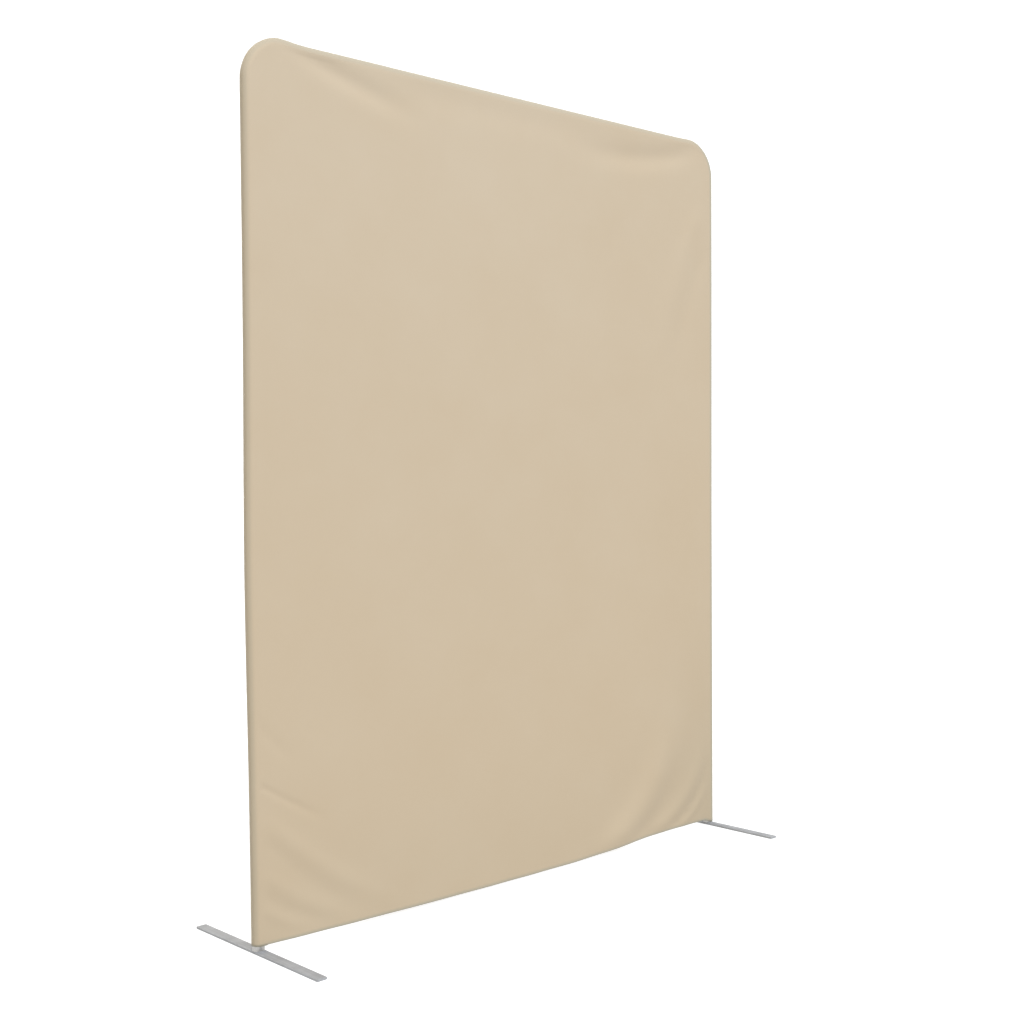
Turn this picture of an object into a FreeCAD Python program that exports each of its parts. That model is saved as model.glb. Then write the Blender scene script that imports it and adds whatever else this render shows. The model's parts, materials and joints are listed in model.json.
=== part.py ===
import FreeCAD, Part
import math
import os
import re

import Sketcher

# A free-standing display wall: a push-together tube frame inside a zipped cloth cover, on two flat feet.
# Millimetres. X runs along the wall, the front faces -Y, and Z goes up from the floor midway between the feet.

Vector = FreeCAD.Vector
Rotation = FreeCAD.Rotation

# Driving sizes
SIZES = {
    # cover, outside
    "overall_width": 1828.8,
    "overall_height": 2286.0,
    "cloth_thickness": 0.6,
    "cloth_clearance": 0.3,
    "seam_land": 0.3,
    "hem_height": 19.5,
    "hem_sag": 14.0,
    "hem_low_offset": 165.0,
    # tubes and their push-together ends
    "tube_diameter": 32.0,
    "tube_wall": 1.5,
    "swage_length": 60.0,
    "swage_step": 2.0,
    "swage_clearance": 0.1,
    "bend_radius": 96.0,
    "corner_leg": 40.0,
    "upright_joint_height": 1100.0,
    "rail_height": 75.0,
    "rail_end_gap": 1.0,
    # snap buttons and their leaf springs
    "button_diameter": 8.0,
    "button_clearance": 0.15,
    "button_height": 2.5,
    "button_dome": 1.5,
    "button_flange_diameter": 11.0,
    "button_flange_thickness": 1.2,
    "button_setback": 30.0,
    "leaf_thickness": 0.6,
    "leaf_width": 7.0,
    "leaf_tail": 7.0,
    "leaf_reach": 22.0,
    "leaf_clearance": 0.05,
    # spigots that carry the bottom rail
    "spigot_wall": 10.0,
    "spigot_seat_gap": 0.05,
    "spigot_screw_diameter": 6.0,
    "spigot_screw_head_diameter": 10.0,
    "spigot_screw_head_height": 6.0,
    "spigot_screw_length": 18.0,
    "spigot_socket_flats": 5.0,
    "access_hole_diameter": 11.0,
    "screw_clearance": 0.2,
    "thread_clearance": 0.05,
    # feet
    "foot_length": 545.0,
    "foot_width": 30.0,
    "foot_thickness": 5.0,
    "foot_corner_radius": 3.0,
    "foot_edge_chamfer": 0.5,
    "plug_flange": 2.0,
    "plug_length": 40.0,
    "plug_clearance": 0.05,
    "foot_screw_diameter": 8.0,
    "foot_screw_head_diameter": 15.0,
    "foot_screw_head_height": 4.0,
    "foot_screw_recess": 0.3,
    "foot_screw_length": 34.0,
    "foot_socket_flats": 5.0,
    "socket_depth": 2.5,
    # zip along the foot of the back
    "zip_height": 45.0,
    "zip_end_margin": 64.4,
    "zip_window": 11.0,
    "zip_row_height": 2.6,
    "zip_row_depth": 2.4,
    "zip_slit": 1.4,
    "zip_stop_length": 4.0,
    "tape_width": 12.0,
    "tape_thickness": 0.5,
    "slider_length": 13.0,
    "slider_width": 10.0,
    "slider_plate": 1.2,
    "slider_rim": 1.0,
    "slider_clearance": 0.3,
    "slider_blade": 0.9,
    "slider_blade_length": 3.0,
    "bail_length": 9.0,
    "bail_bar": 1.6,
    "bail_opening": 1.9,
    "pull_length": 30.0,
    "pull_width": 8.0,
    "pull_thickness": 1.2,
    "pull_bar": 1.3,
    "pull_window_length": 7.0,
    "pull_window_width": 3.6,
}

# Radii across the wall of a tube, its narrowed end and the cover round it
TUBE_R = "tube_diameter / 2"
BORE_R = "tube_diameter / 2 - tube_wall"
MALE_R = "tube_diameter / 2 - tube_wall - swage_clearance"
MALE_BORE_R = "tube_diameter / 2 - 2 * tube_wall - swage_clearance"
LINING_R = "tube_diameter / 2 + cloth_clearance"
COVER_R = "tube_diameter / 2 + cloth_clearance + cloth_thickness"
HOLE_R = "button_diameter / 2 + button_clearance"

# Tube axes and the faces where one tube ends and the next begins
UPRIGHT_X = f"(overall_width / 2 - ({COVER_R}))"
TOP_Z = f"(overall_height - ({COVER_R}))"
BASE_Z = "(foot_thickness + plug_flange)"
CORNER_X = f"({UPRIGHT_X} - bend_radius - corner_leg)"
CORNER_Z = f"({TOP_Z} - bend_radius - corner_leg)"
RAIL_END = "(tube_diameter / 2 + rail_end_gap)"
RAIL_X = f"({UPRIGHT_X} - {RAIL_END})"

# Zip, measured from the middle of the cloth that it closes
ZIP_X = "(overall_width / 2 - zip_end_margin)"
CHAIN_X = f"({ZIP_X} - zip_stop_length)"
SLIDER_X = f"({CHAIN_X} - slider_length / 2 - slider_clearance)"
CLOTH_Y = "(tube_diameter / 2 + cloth_clearance + cloth_thickness / 2)"
ROW_TOP = "(zip_slit / 2 + zip_row_height)"
PLATE_Y = f"({CLOTH_Y} + zip_row_depth / 2 + slider_clearance)"
PLATE_OUT = f"({PLATE_Y} + slider_plate)"
KEEPER_Y = f"({CLOTH_Y} - zip_row_depth / 2 - slider_clearance)"
KEEPER_IN = f"({KEEPER_Y} - slider_plate)"
TAPE_Y = f"({LINING_R} - tape_thickness)"
PULL_Y = f"({PLATE_OUT} + bail_opening / 2)"
PULL_OFFSET = "(bail_length / 2 - bail_bar - pull_bar / 2 - slider_clearance)"

# How a piece that is drawn along Z, with its button towards +X, lies in the frame
UPRIGHT_LEFT = Rotation()
UPRIGHT_RIGHT = Rotation(Vector(0, 0, 1), 180)
ALONG_TOP = Rotation(Vector(0, 1, 0), 90)
ALONG_BOTTOM = Rotation(Vector(1, 0, 1), 180)
SPIGOT_RIGHT = Rotation(Vector(0, 1, 0), -90)
ELBOW = Rotation(Vector(-1, 0, 0), Vector(0, 0, 1), Vector(0, 1, 0), "XYZ")

# How far a cutting tool runs past the face that it cuts
OVERRUN = "5"

# Main folds of the front cloth. Each runs on an arc through three points, given as the distance in from
# the named side and down from the top or up from the floor, and swells (1) or sinks (-1) in the middle.
FOLDS = [
    ("left", "top", (140, 42), (320, 41), (500, 53), 34, 3.0, -1),
    ("left", "top", (170, 68), (350, 93), (590, 147), 48, 3.0, 1),
    ("right", "top", (757, 75), (493, 86), (205, 71), 40, 3.0, -1),
    ("right", "top", (507, 127), (367, 130), (170, 100), 40, 2.5, 1),
    ("right", "top", (104, 305), (208, 511), (289, 773), 60, 2.0, 1),
    ("right", "floor", (216, 423), (340, 225), (556, 71), 60, 3.0, 1),
    ("right", "floor", (129, 369), (232, 208), (365, 118), 40, 3.0, -1),
    ("right", "floor", (77, 271), (170, 140), (350, 62), 40, 3.0, 1),
    ("left", "floor", (40, 410), (105, 367), (190, 299), 36, 2.5, 1),
    ("left", "floor", (45, 262), (150, 196), (285, 124), 40, 2.5, -1),
    ("left", "floor", (50, 212), (112, 156), (200, 92), 36, 3.0, 1),
]
FOLD_FADE = 0.2
FOLD_STATIONS = 5

doc = FreeCAD.newDocument("DisplayWall")
sheet = doc.addObject("Spreadsheet::Sheet", "Sizes")
for row, (alias, value) in enumerate(SIZES.items(), start=1):
    sheet.set(f"A{row}", alias)
    sheet.set(f"B{row}", str(value))
    sheet.setAlias(f"B{row}", alias)
doc.recompute()

nodes = []


def number(formula):
    """The value of a formula of sizes."""
    return float(sheet.evalExpression(formula))


def bind(item, setting, formula):
    """Ties one setting of an object to a formula of the sheet's cells."""
    cells = re.sub(r"[a-z]\w+", lambda word: f"Sizes.{word[0]}" if word[0] in SIZES else word[0], formula)
    item.setExpression(setting, cells)


def place(item, x="0", y="0", z="0", turn=Rotation()):
    """Sets an object at a point given as three formulas, turned as asked."""
    item.Placement = FreeCAD.Placement(Vector(number(x), number(y), number(z)), turn)
    for axis, formula in zip("xyz", (x, y, z)):
        bind(item, f"Placement.Base.{axis}", formula)
    return item


def node(item, name):
    """Names a finished sub-part and keeps it for the hand-over."""
    item.Label = name
    nodes.append(item)
    return item


def new_body(name):
    return doc.addObject("PartDesign::Body", name)


def new_sketch(body, plane):
    drawing = body.newObject("Sketcher::SketchObject", f"{body.Name}_sketch")
    support = next(item for item in body.Origin.OriginFeatures if item.Role == plane)
    drawing.AttachmentSupport = [(support, "")]
    drawing.MapMode = "FlatFace"
    return drawing


def pin_point(drawing, curve, end, u, v):
    """Ties a point of a sketch to its two coordinates."""
    for kind, axis, formula in (("DistanceX", -2, u), ("DistanceY", -1, v)):
        if formula == "0":
            drawing.addConstraint(Sketcher.Constraint("PointOnObject", curve, end, axis))
            continue
        index = drawing.addConstraint(Sketcher.Constraint(kind, -1, 1, curve, end, number(formula)))
        bind(drawing, f"Constraints[{index}]", formula)


def draw_outline(drawing, corners):
    """Draws a closed outline. A corner (u, v) is reached by a line, and (u, v, radius, turn) by an arc
    that bends to the left (1) or to the right (-1)."""
    points = [Vector(number(corner[0]), number(corner[1]), 0) for corner in corners]
    strokes = []
    for index, corner in enumerate(corners):
        start, end = points[index - 1], points[index]
        if len(corner) == 2:
            curve = drawing.addGeometry(Part.LineSegment(start, end))
        else:
            radius, turn = number(corner[2]), corner[3]
            chord = end - start
            rise = radius - math.sqrt(radius ** 2 - (chord.Length / 2) ** 2)
            left = Vector(-chord.y, chord.x, 0).normalize()
            curve = drawing.addGeometry(Part.Arc(start, (start + end) / 2 - left * turn * rise, end))
            bind(drawing, f"Constraints[{drawing.addConstraint(Sketcher.Constraint('Radius', curve, radius))}]",
                 corner[2])
        forward = (drawing.getPoint(curve, 1) - start).Length < (drawing.getPoint(curve, 2) - start).Length
        strokes.append((curve, 1, 2) if forward else (curve, 2, 1))
    for index, corner in enumerate(corners):
        curve, _, end = strokes[index]
        following, start, _ = strokes[(index + 1) % len(strokes)]
        drawing.addConstraint(Sketcher.Constraint("Coincident", curve, end, following, start))
        pin_point(drawing, curve, end, corner[0], corner[1])


def draw_circle(drawing, u, v, radius):
    center = Vector(number(u), number(v), 0)
    curve = drawing.addGeometry(Part.Circle(center, Vector(0, 0, 1), number(radius)))
    pin_point(drawing, curve, 3, u, v)
    index = drawing.addConstraint(Sketcher.Constraint("Radius", curve, number(radius)))
    bind(drawing, f"Constraints[{index}]", radius)


def hexagon(flats):
    """The corners of a hexagon, measured across its flats, round the origin."""
    reach = f"({flats}) / sqrt(3)"
    across = f"({flats}) / 2"
    half = f"({flats}) / (2 * sqrt(3))"
    return [(reach, "0"), (half, across), (f"-{half}", across),
            (f"-{reach}", "0"), (f"-{half}", f"-{across}"), (half, f"-{across}")]


def revolve(body, corners, axis="V_Axis"):
    """Turns an outline in the XZ plane about Z (V_Axis) or X (H_Axis)."""
    drawing = new_sketch(body, "XZ_Plane")
    draw_outline(drawing, corners)
    turned = body.newObject("PartDesign::Revolution", f"{body.Name}_turned")
    turned.Profile = drawing
    turned.ReferenceAxis = (drawing, [axis])
    turned.Angle = 360
    return turned


def pad(body, plane, outlines, length):
    """Raises outlines in a plane to both sides of it, the length in all."""
    drawing = new_sketch(body, plane)
    for corners in outlines:
        draw_outline(drawing, corners)
    raised = body.newObject("PartDesign::Pad", f"{body.Name}_pad")
    raised.Profile = drawing
    raised.SideType = "Symmetric"
    bind(raised, "Length", length)
    return raised


def cut(body, drawing, depth, side="One side", forward=True):
    """Cuts a drawn outline along its plane's own axis, or against it, and makes sure that it took material."""
    doc.recompute()
    before = body.Shape.Volume
    hole = body.newObject("PartDesign::Pocket", f"{body.Name}_cut")
    hole.Profile = drawing
    hole.SideType = side
    hole.Reversed = forward
    bind(hole, "Length", depth)
    doc.recompute()
    if not body.Shape.Volume < before:
        raise ValueError(f"{body.Name}: a cut misses the solid")
    return hole


def cross_hole(body, height, radius, forward=True):
    """A hole from a tube's axis out through its wall, at +X or at -X."""
    drawing = new_sketch(body, "YZ_Plane")
    draw_circle(drawing, "0", height, radius)
    cut(body, drawing, "tube_diameter", forward=forward)


def cylinder(name, radius, height, x="0", y="0", z="0", turn=Rotation()):
    item = doc.addObject("Part::Cylinder", name)
    bind(item, "Radius", radius)
    bind(item, "Height", height)
    return place(item, x, y, z, turn)


def box(name, low, size):
    """A block from its lowest corner, given as three formulas, and its three sizes."""
    item = doc.addObject("Part::Box", name)
    for setting, formula in zip(("Length", "Width", "Height"), size):
        bind(item, setting, formula)
    return place(item, *low)


def fuse(name, items):
    item = doc.addObject("Part::MultiFuse", name)
    item.Shapes = items
    return item


def boolean(kind, name, base, tool):
    item = doc.addObject(f"Part::{kind}", name)
    item.Base = base
    item.Tool = tool
    return item


def group(name, items):
    """Several like pieces that share one name."""
    item = doc.addObject("Part::Compound", name)
    item.Links = items
    return node(item, name)


# Tubes of the frame


def straight_tube(name, length, button_holes, swaged):
    """A tube along Z. A swaged end is narrowed to slide into the next tube."""
    body = new_body(name)
    section = [(BORE_R, "0"), (TUBE_R, "0"), (TUBE_R, length)]
    if swaged:
        tip = f"{length} + swage_length"
        step = f"{length} - swage_step"
        section += [(MALE_R, length), (MALE_R, tip), (MALE_BORE_R, tip), (MALE_BORE_R, step), (BORE_R, step)]
    else:
        section += [(BORE_R, length)]
    revolve(body, section)
    for height in button_holes:
        cross_hole(body, height, HOLE_R)
    return node(body, name)


def lower_upright(side, x, turn):
    """Stands on the foot, takes the bottom rail's spigot and ends in a swage at half height."""
    length = f"(upright_joint_height - {BASE_Z})"
    body = straight_tube(f"{side}_lower_upright", length, [f"{length} + button_setback"], True)
    rail = f"rail_height - {BASE_Z}"
    cross_hole(body, rail, "spigot_screw_diameter / 2 + screw_clearance")
    cross_hole(body, rail, "access_hole_diameter / 2", forward=False)
    place(body, x, "0", BASE_Z, turn)


def upper_upright(side, x, turn):
    length = f"({CORNER_Z} - upright_joint_height)"
    holes = ["button_setback", f"{length} - button_setback"]
    place(straight_tube(f"{side}_upper_upright", length, holes, False), x, "0", "upright_joint_height", turn)


def top_corner(side, x, turn):
    """A bent tube with a short leg and a swaged end both ways, drawn from the foot of its upright leg."""
    name = f"{side}_top_corner"
    top = "corner_leg + bend_radius"
    rail_leg = dict(x="bend_radius", z=top, turn=ALONG_TOP)

    def elbow(label, radius):
        item = doc.addObject("Part::Torus", label)
        item.Angle3 = 90
        bind(item, "Radius1", "bend_radius")
        bind(item, "Radius2", radius)
        return place(item, "bend_radius", "0", "corner_leg", ELBOW)

    outside = fuse(f"{name}_outside", [
        elbow(f"{name}_bend", TUBE_R),
        cylinder(f"{name}_leg", TUBE_R, "corner_leg"),
        cylinder(f"{name}_rail_leg", TUBE_R, "corner_leg", **rail_leg),
        cylinder(f"{name}_swage", MALE_R, "swage_length + swage_step", z="-swage_length"),
        cylinder(f"{name}_rail_swage", MALE_R, "swage_length + swage_step",
                 x=f"{top} - swage_step", z=top, turn=ALONG_TOP),
    ])
    bore = "corner_leg - swage_step"
    narrow = f"swage_length + swage_step + 2 * {OVERRUN}"
    inside = fuse(f"{name}_inside", [
        elbow(f"{name}_bend_bore", BORE_R),
        cylinder(f"{name}_leg_bore", BORE_R, bore, z="swage_step"),
        cylinder(f"{name}_rail_leg_bore", BORE_R, bore, **rail_leg),
        cylinder(f"{name}_swage_bore", MALE_BORE_R, narrow, z=f"-swage_length - {OVERRUN}"),
        cylinder(f"{name}_rail_swage_bore", MALE_BORE_R, narrow,
                 x=f"{top} - swage_step - {OVERRUN}", z=top, turn=ALONG_TOP),
        cylinder(f"{name}_hole", HOLE_R, "tube_diameter", z="-button_setback", turn=ALONG_TOP),
        cylinder(f"{name}_rail_hole", HOLE_R, "tube_diameter",
                 x=f"{top} + button_setback", z=f"{top} - tube_diameter"),
    ])
    place(node(boolean("Cut", name, outside, inside), name), x, "0", CORNER_Z, turn)


def rails():
    """The top and bottom rails, each in two halves that meet at the middle of the wall."""
    male_hole = "{0} + button_setback"
    top_left = straight_tube("top_rail_left", CORNER_X, ["button_setback", male_hole.format(CORNER_X)], True)
    place(top_left, f"-{CORNER_X}", "0", TOP_Z, ALONG_TOP)
    top_right = straight_tube("top_rail_right", CORNER_X, ["button_setback", f"{CORNER_X} - button_setback"], False)
    place(top_right, "0", "0", TOP_Z, ALONG_TOP)
    low_left = straight_tube("bottom_rail_left", RAIL_X, ["button_setback", male_hole.format(RAIL_X)], True)
    place(low_left, f"-{RAIL_X}", "0", "rail_height", ALONG_BOTTOM)
    low_right = straight_tube("bottom_rail_right", RAIL_X, ["button_setback", f"{RAIL_X} - button_setback"], False)
    place(low_right, "0", "0", "rail_height", ALONG_BOTTOM)


# Spigots and screws


def rail_spigot(side, x, turn):
    """A cup that fits the bottom rail's bore, coped to the upright's round and tapped for its screw."""
    body = new_body(f"{side}_rail_spigot")
    thread = "spigot_screw_diameter / 2 + thread_clearance"
    floor = f"{RAIL_END} + spigot_wall"
    tip = f"{RAIL_END} + swage_length"
    revolve(body, [(thread, "0"), (MALE_R, "0"), (MALE_R, tip), (MALE_BORE_R, tip),
                   (MALE_BORE_R, floor), (thread, floor)])
    cope = new_sketch(body, "YZ_Plane")
    draw_circle(cope, "0", "0", f"{TUBE_R} + spigot_seat_gap")
    cut(body, cope, "2 * tube_diameter", "Symmetric")
    cross_hole(body, f"{RAIL_END} + button_setback", HOLE_R)
    place(node(body, body.Name), x, "0", "rail_height", turn)


def spigot_screw(side, x, turn):
    """A socket screw inside the upright. The rim of its head meets the tube's round bore."""
    body = new_body(f"{side}_spigot_screw")
    head = "spigot_screw_head_diameter / 2"
    seat = f"(sqrt(({BORE_R})^2 - ({head})^2) - spigot_seat_gap)"
    back = f"{seat} - spigot_screw_head_height"
    shank = "spigot_screw_diameter / 2"
    tip = f"{seat} + spigot_screw_length"
    revolve(body, [("0", back), (head, back), (head, seat), (shank, seat), (shank, tip), ("0", tip)])
    socket = new_sketch(body, "XY_Plane")
    draw_outline(socket, hexagon("spigot_socket_flats"))
    cut(body, socket, f"{back} + socket_depth")
    return place(body, x, "0", "rail_height", turn)


def foot_plug(side, x):
    """A tapped plug in the upright's open end, with a flange that the tube stands on."""
    body = new_body(f"{side}_foot_plug")
    thread = "foot_screw_diameter / 2 + thread_clearance"
    neck = f"{BORE_R} - plug_clearance"
    tip = "plug_flange + plug_length"
    revolve(body, [(thread, "0"), (TUBE_R, "0"), (TUBE_R, "plug_flange"), (neck, "plug_flange"),
                   (neck, tip), (thread, tip)])
    place(node(body, body.Name), x, "0", "foot_thickness")


def foot_screw(side, x):
    """A countersunk screw, let in just below the underside of the foot."""
    body = new_body(f"{side}_foot_screw")
    head = "foot_screw_head_diameter / 2"
    shank = "foot_screw_diameter / 2"
    tip = "foot_screw_length"
    revolve(body, [("0", "0"), (head, "0"), (shank, "foot_screw_head_height"), (shank, tip), ("0", tip)])
    socket = new_sketch(body, "XY_Plane")
    draw_outline(socket, hexagon("foot_socket_flats"))
    cut(body, socket, "socket_depth")
    return place(body, x, "0", "foot_screw_recess")


def foot_plate(side, x):
    """A flat steel bar that lies across under the upright and turns on its screw."""
    body = new_body(f"{side}_foot_plate")
    half_width, half_length = "foot_width / 2", "foot_length / 2"
    drawing = new_sketch(body, "XY_Plane")
    draw_outline(drawing, [(f"-{half_width}", f"-{half_length}"), (half_width, f"-{half_length}"),
                           (half_width, half_length), (f"-{half_width}", half_length)])
    bar = body.newObject("PartDesign::Pad", f"{body.Name}_bar")
    bar.Profile = drawing
    bind(bar, "Length", "foot_thickness")
    doc.recompute()

    def edges_where(shape, wanted):
        return [f"Edge{index}" for index, edge in enumerate(shape.Edges, start=1) if wanted(edge.BoundBox)]

    corners = body.newObject("PartDesign::Fillet", f"{body.Name}_corners")
    corners.Base = (bar, edges_where(bar.Shape, lambda room: room.ZLength > number("foot_thickness") / 2))
    bind(corners, "Radius", "foot_corner_radius")
    doc.recompute()
    rims = body.newObject("PartDesign::Chamfer", f"{body.Name}_rims")
    rims.Base = (corners, edges_where(corners.Shape, lambda room: room.ZMin > number("foot_thickness") / 2))
    bind(rims, "Size", "foot_edge_chamfer")
    doc.recompute()
    before = body.Shape.Volume
    sunk = new_sketch(body, "XZ_Plane")
    mouth = "foot_screw_head_diameter / 2 + screw_clearance"
    neck = "foot_screw_diameter / 2 + screw_clearance"
    draw_outline(sunk, [("0", "0"), (mouth, "0"), (mouth, "foot_screw_recess"),
                        (neck, "foot_screw_recess + foot_screw_head_height"), (neck, "foot_thickness"),
                        ("0", "foot_thickness")])
    hole = body.newObject("PartDesign::Groove", f"{body.Name}_hole")
    hole.Profile = sunk
    hole.ReferenceAxis = (sunk, ["V_Axis"])
    hole.Angle = 360
    doc.recompute()
    if not body.Shape.Volume < before:
        raise ValueError(f"{body.Name}: its screw hole misses the bar")
    place(node(body, body.Name), x)


# Snap buttons


FLANGE_TOP = f"(sqrt(({MALE_BORE_R})^2 - (button_flange_diameter / 2)^2) - button_clearance)"
FLANGE_LOW = f"({FLANGE_TOP} - button_flange_thickness)"


def snap_button(name, x, z, turn):
    """A domed pin through both tubes, drawn along X, with a flange that keeps it in the inner tube."""
    body = new_body(f"{name}_button")
    pin = "button_diameter / 2"
    rim = "button_flange_diameter / 2"
    top = f"{TUBE_R} + button_height"
    dome = f"(({pin})^2 + button_dome^2) / (2 * button_dome)"
    revolve(body, [(FLANGE_LOW, "0"), (FLANGE_LOW, rim), (FLANGE_TOP, rim), (FLANGE_TOP, pin),
                   (f"{top} - button_dome", pin), (top, "0", dome, -1)], "H_Axis")
    place(node(body, body.Name), x, "0", z, turn)


def leaf_spring(name, x, z, turn):
    """A bent leaf of spring steel between the button's flange and the far side of the tube's bore."""
    body = new_body(f"{name}_spring")
    wall = f"-(sqrt(({MALE_BORE_R})^2 - (leaf_width / 2)^2) - leaf_clearance)"
    tail, tip = "leaf_tail", "leaf_reach"
    under = f"{FLANGE_LOW} - leaf_thickness"
    over = f"{wall} + leaf_thickness"
    pad(body, "XZ_Plane", [[
        (FLANGE_LOW, f"-{tail}"), (FLANGE_LOW, tail), ("0", tip), (wall, tail), (wall, f"-{tail}"),
        (over, f"-{tail}"), (over, tail), ("0", f"{tip} - 2 * leaf_thickness"), (under, tail), (under, f"-{tail}"),
    ]], "leaf_width")
    place(node(body, body.Name), x, "0", z, turn)


# Cloth cover


def cover_block(name, inset):
    """The cover's outline with its sides and top rounded over, the inset inside its outer face."""
    body = new_body(name)
    side = f"(overall_width / 2 - {inset})"
    top = f"(overall_height - {inset})"
    radius = f"(bend_radius + {COVER_R} - {inset})"
    half = f"({COVER_R} - {inset})"
    low = "(hem_height - 2 * hem_sag)"
    pad(body, "XZ_Plane", [[
        (f"-{side}", low), (side, low), (side, f"{top} - {radius}"), (f"{side} - {radius}", top, radius, 1),
        (f"{radius} - {side}", top), (f"-{side}", f"{top} - {radius}", radius, 1),
    ]], f"2 * {half}")
    doc.recompute()
    block = body.Tip
    floor = number(low)
    rims = [f"Edge{index}" for index, edge in enumerate(block.Shape.Edges, start=1)
            if edge.BoundBox.YLength < number("cloth_thickness") and edge.BoundBox.ZMax > floor + 1]
    rounded = body.newObject("PartDesign::Fillet", f"{name}_rims")
    rounded.Base = (block, rims)
    bind(rounded, "Radius", f"{half} - seam_land / 2")
    return body


def below_hem(name, lift):
    """Everything below the hem, which hangs in two arcs from the corners to its lowest point."""
    body = new_body(name)
    side = "(overall_width / 2)"
    corner = f"hem_height + {lift}"
    lowest = f"hem_height - hem_sag + {lift}"

    def sag_radius(reach):
        return f"(({reach})^2 + hem_sag^2) / (2 * hem_sag)"

    base = "-overall_height / 10"
    pad(body, "XZ_Plane", [[
        (f"-{side}", base), (side, base), (side, corner),
        ("hem_low_offset", lowest, sag_radius(f"{side} - hem_low_offset"), -1),
        (f"-{side}", corner, sag_radius(f"{side} + hem_low_offset"), -1),
    ]], f"4 * ({COVER_R})")
    return body


def fold(side, edge, start, middle, end, width, height, way, shift):
    """One fold as a solid: circle segments that grow and fade along an arc in the middle of the cloth."""
    across, up = (-1 if side == "left" else 1), (1 if edge == "floor" else -1)
    half_width = number("overall_width / 2")
    ground = 0 if edge == "floor" else number("overall_height")
    depth = -number(CLOTH_Y) + shift * way * number("cloth_thickness")
    spine = Part.Arc(*[Vector(across * (half_width - inset), depth, ground + up * rise)
                       for inset, rise in (start, middle, end)])
    sections = []
    for station in range(FOLD_STATIONS):
        share = station / (FOLD_STATIONS - 1)
        at = spine.FirstParameter + share * (spine.LastParameter - spine.FirstParameter)
        swell = FOLD_FADE + (1 - FOLD_FADE) * math.sin(math.pi * share)
        point, along = spine.value(at), spine.tangent(at)[0]
        reach = along.cross(Vector(0, 1, 0)).normalize() * (width / 2 * swell)
        crest = point - Vector(0, way * height * swell, 0)
        sections.append(Part.Wire([Part.Arc(point - reach, crest, point + reach).toShape(),
                                   Part.makeLine(point + reach, point - reach)]))
    return Part.makeLoft(sections, True, False)


def cover():
    """A pillowcase of two panels. The front one goes under the hem and up the back to the zip."""
    outside = boolean("Cut", "cover_outside", cover_block("cover_skin", "0"), below_hem("hem_outside", "0"))
    inside = boolean("Cut", "cover_inside", cover_block("cover_lining", "cloth_thickness"),
                     below_hem("hem_inside", "cloth_thickness"))
    shell = boolean("Cut", "cover_shell", outside, inside)
    mouth_r = "tube_diameter / 2 + cloth_clearance / 2"
    mouths = [cylinder(f"{side}_mouth", mouth_r, f"hem_height + {OVERRUN}", x=x)
              for side, x in (("left", f"-{UPRIGHT_X}"), ("right", UPRIGHT_X))]
    window = box("zip_window_cut", (f"-{ZIP_X}", f"{LINING_R} - {OVERRUN}", "zip_height - zip_window / 2"),
                 (f"2 * {ZIP_X}", f"cloth_thickness + 2 * {OVERRUN}", "zip_window"))
    open_shell = boolean("Cut", "cover_open_shell", shell, fuse("cover_openings", mouths + [window]))
    front_half = box("front_half", ("-overall_width", "-overall_width", "-overall_height"),
                     ("2 * overall_width", "overall_width", "3 * overall_height"))
    flap = box("front_flap", (f"-{ZIP_X}", "0", "-overall_height"),
               (f"2 * {ZIP_X}", "overall_width", "overall_height + zip_height"))
    front_room = fuse("front_room", [front_half, flap])
    front = boolean("Common", "cover_front_flat", open_shell, front_room)
    node(boolean("Cut", "cover_back_panel", open_shell, front_room), "cover_back_panel")
    doc.recompute()
    cloth = front.Shape
    for line in FOLDS:
        cloth = cloth.fuse(fold(*line, 0)).cut(fold(*line, 1))
    panel = doc.addObject("Part::Feature", "cover_front_panel")
    panel.Shape = cloth
    node(panel, "cover_front_panel")


# Zip


def zip_fastener():
    """Two tapes, two rows of coil with a slit between them, and a stop at each end."""
    for side, tape_low, row_low in (
        ("lower", f"zip_height - {ROW_TOP} - tape_width", f"zip_height - {ROW_TOP}"),
        ("upper", f"zip_height + {ROW_TOP}", "zip_height + zip_slit / 2"),
    ):
        node(box(f"zip_{side}_tape", (f"-{ZIP_X}", TAPE_Y, tape_low),
                 (f"2 * {ZIP_X}", "tape_thickness", "tape_width")), f"zip_{side}_tape")
        node(box(f"zip_{side}_row", (f"-{CHAIN_X}", f"{CLOTH_Y} - zip_row_depth / 2", row_low),
                 (f"2 * {CHAIN_X}", "zip_row_depth", "zip_row_height")), f"zip_{side}_row")
    stop_size = ("zip_stop_length", "zip_row_depth", f"2 * {ROW_TOP}")
    stops = [box(f"{side}_zip_stop", (x, f"{CLOTH_Y} - zip_row_depth / 2", f"zip_height - {ROW_TOP}"), stop_size)
             for side, x in (("left", f"-{ZIP_X}"), ("right", CHAIN_X))]
    group("zip_stops", stops)


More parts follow.
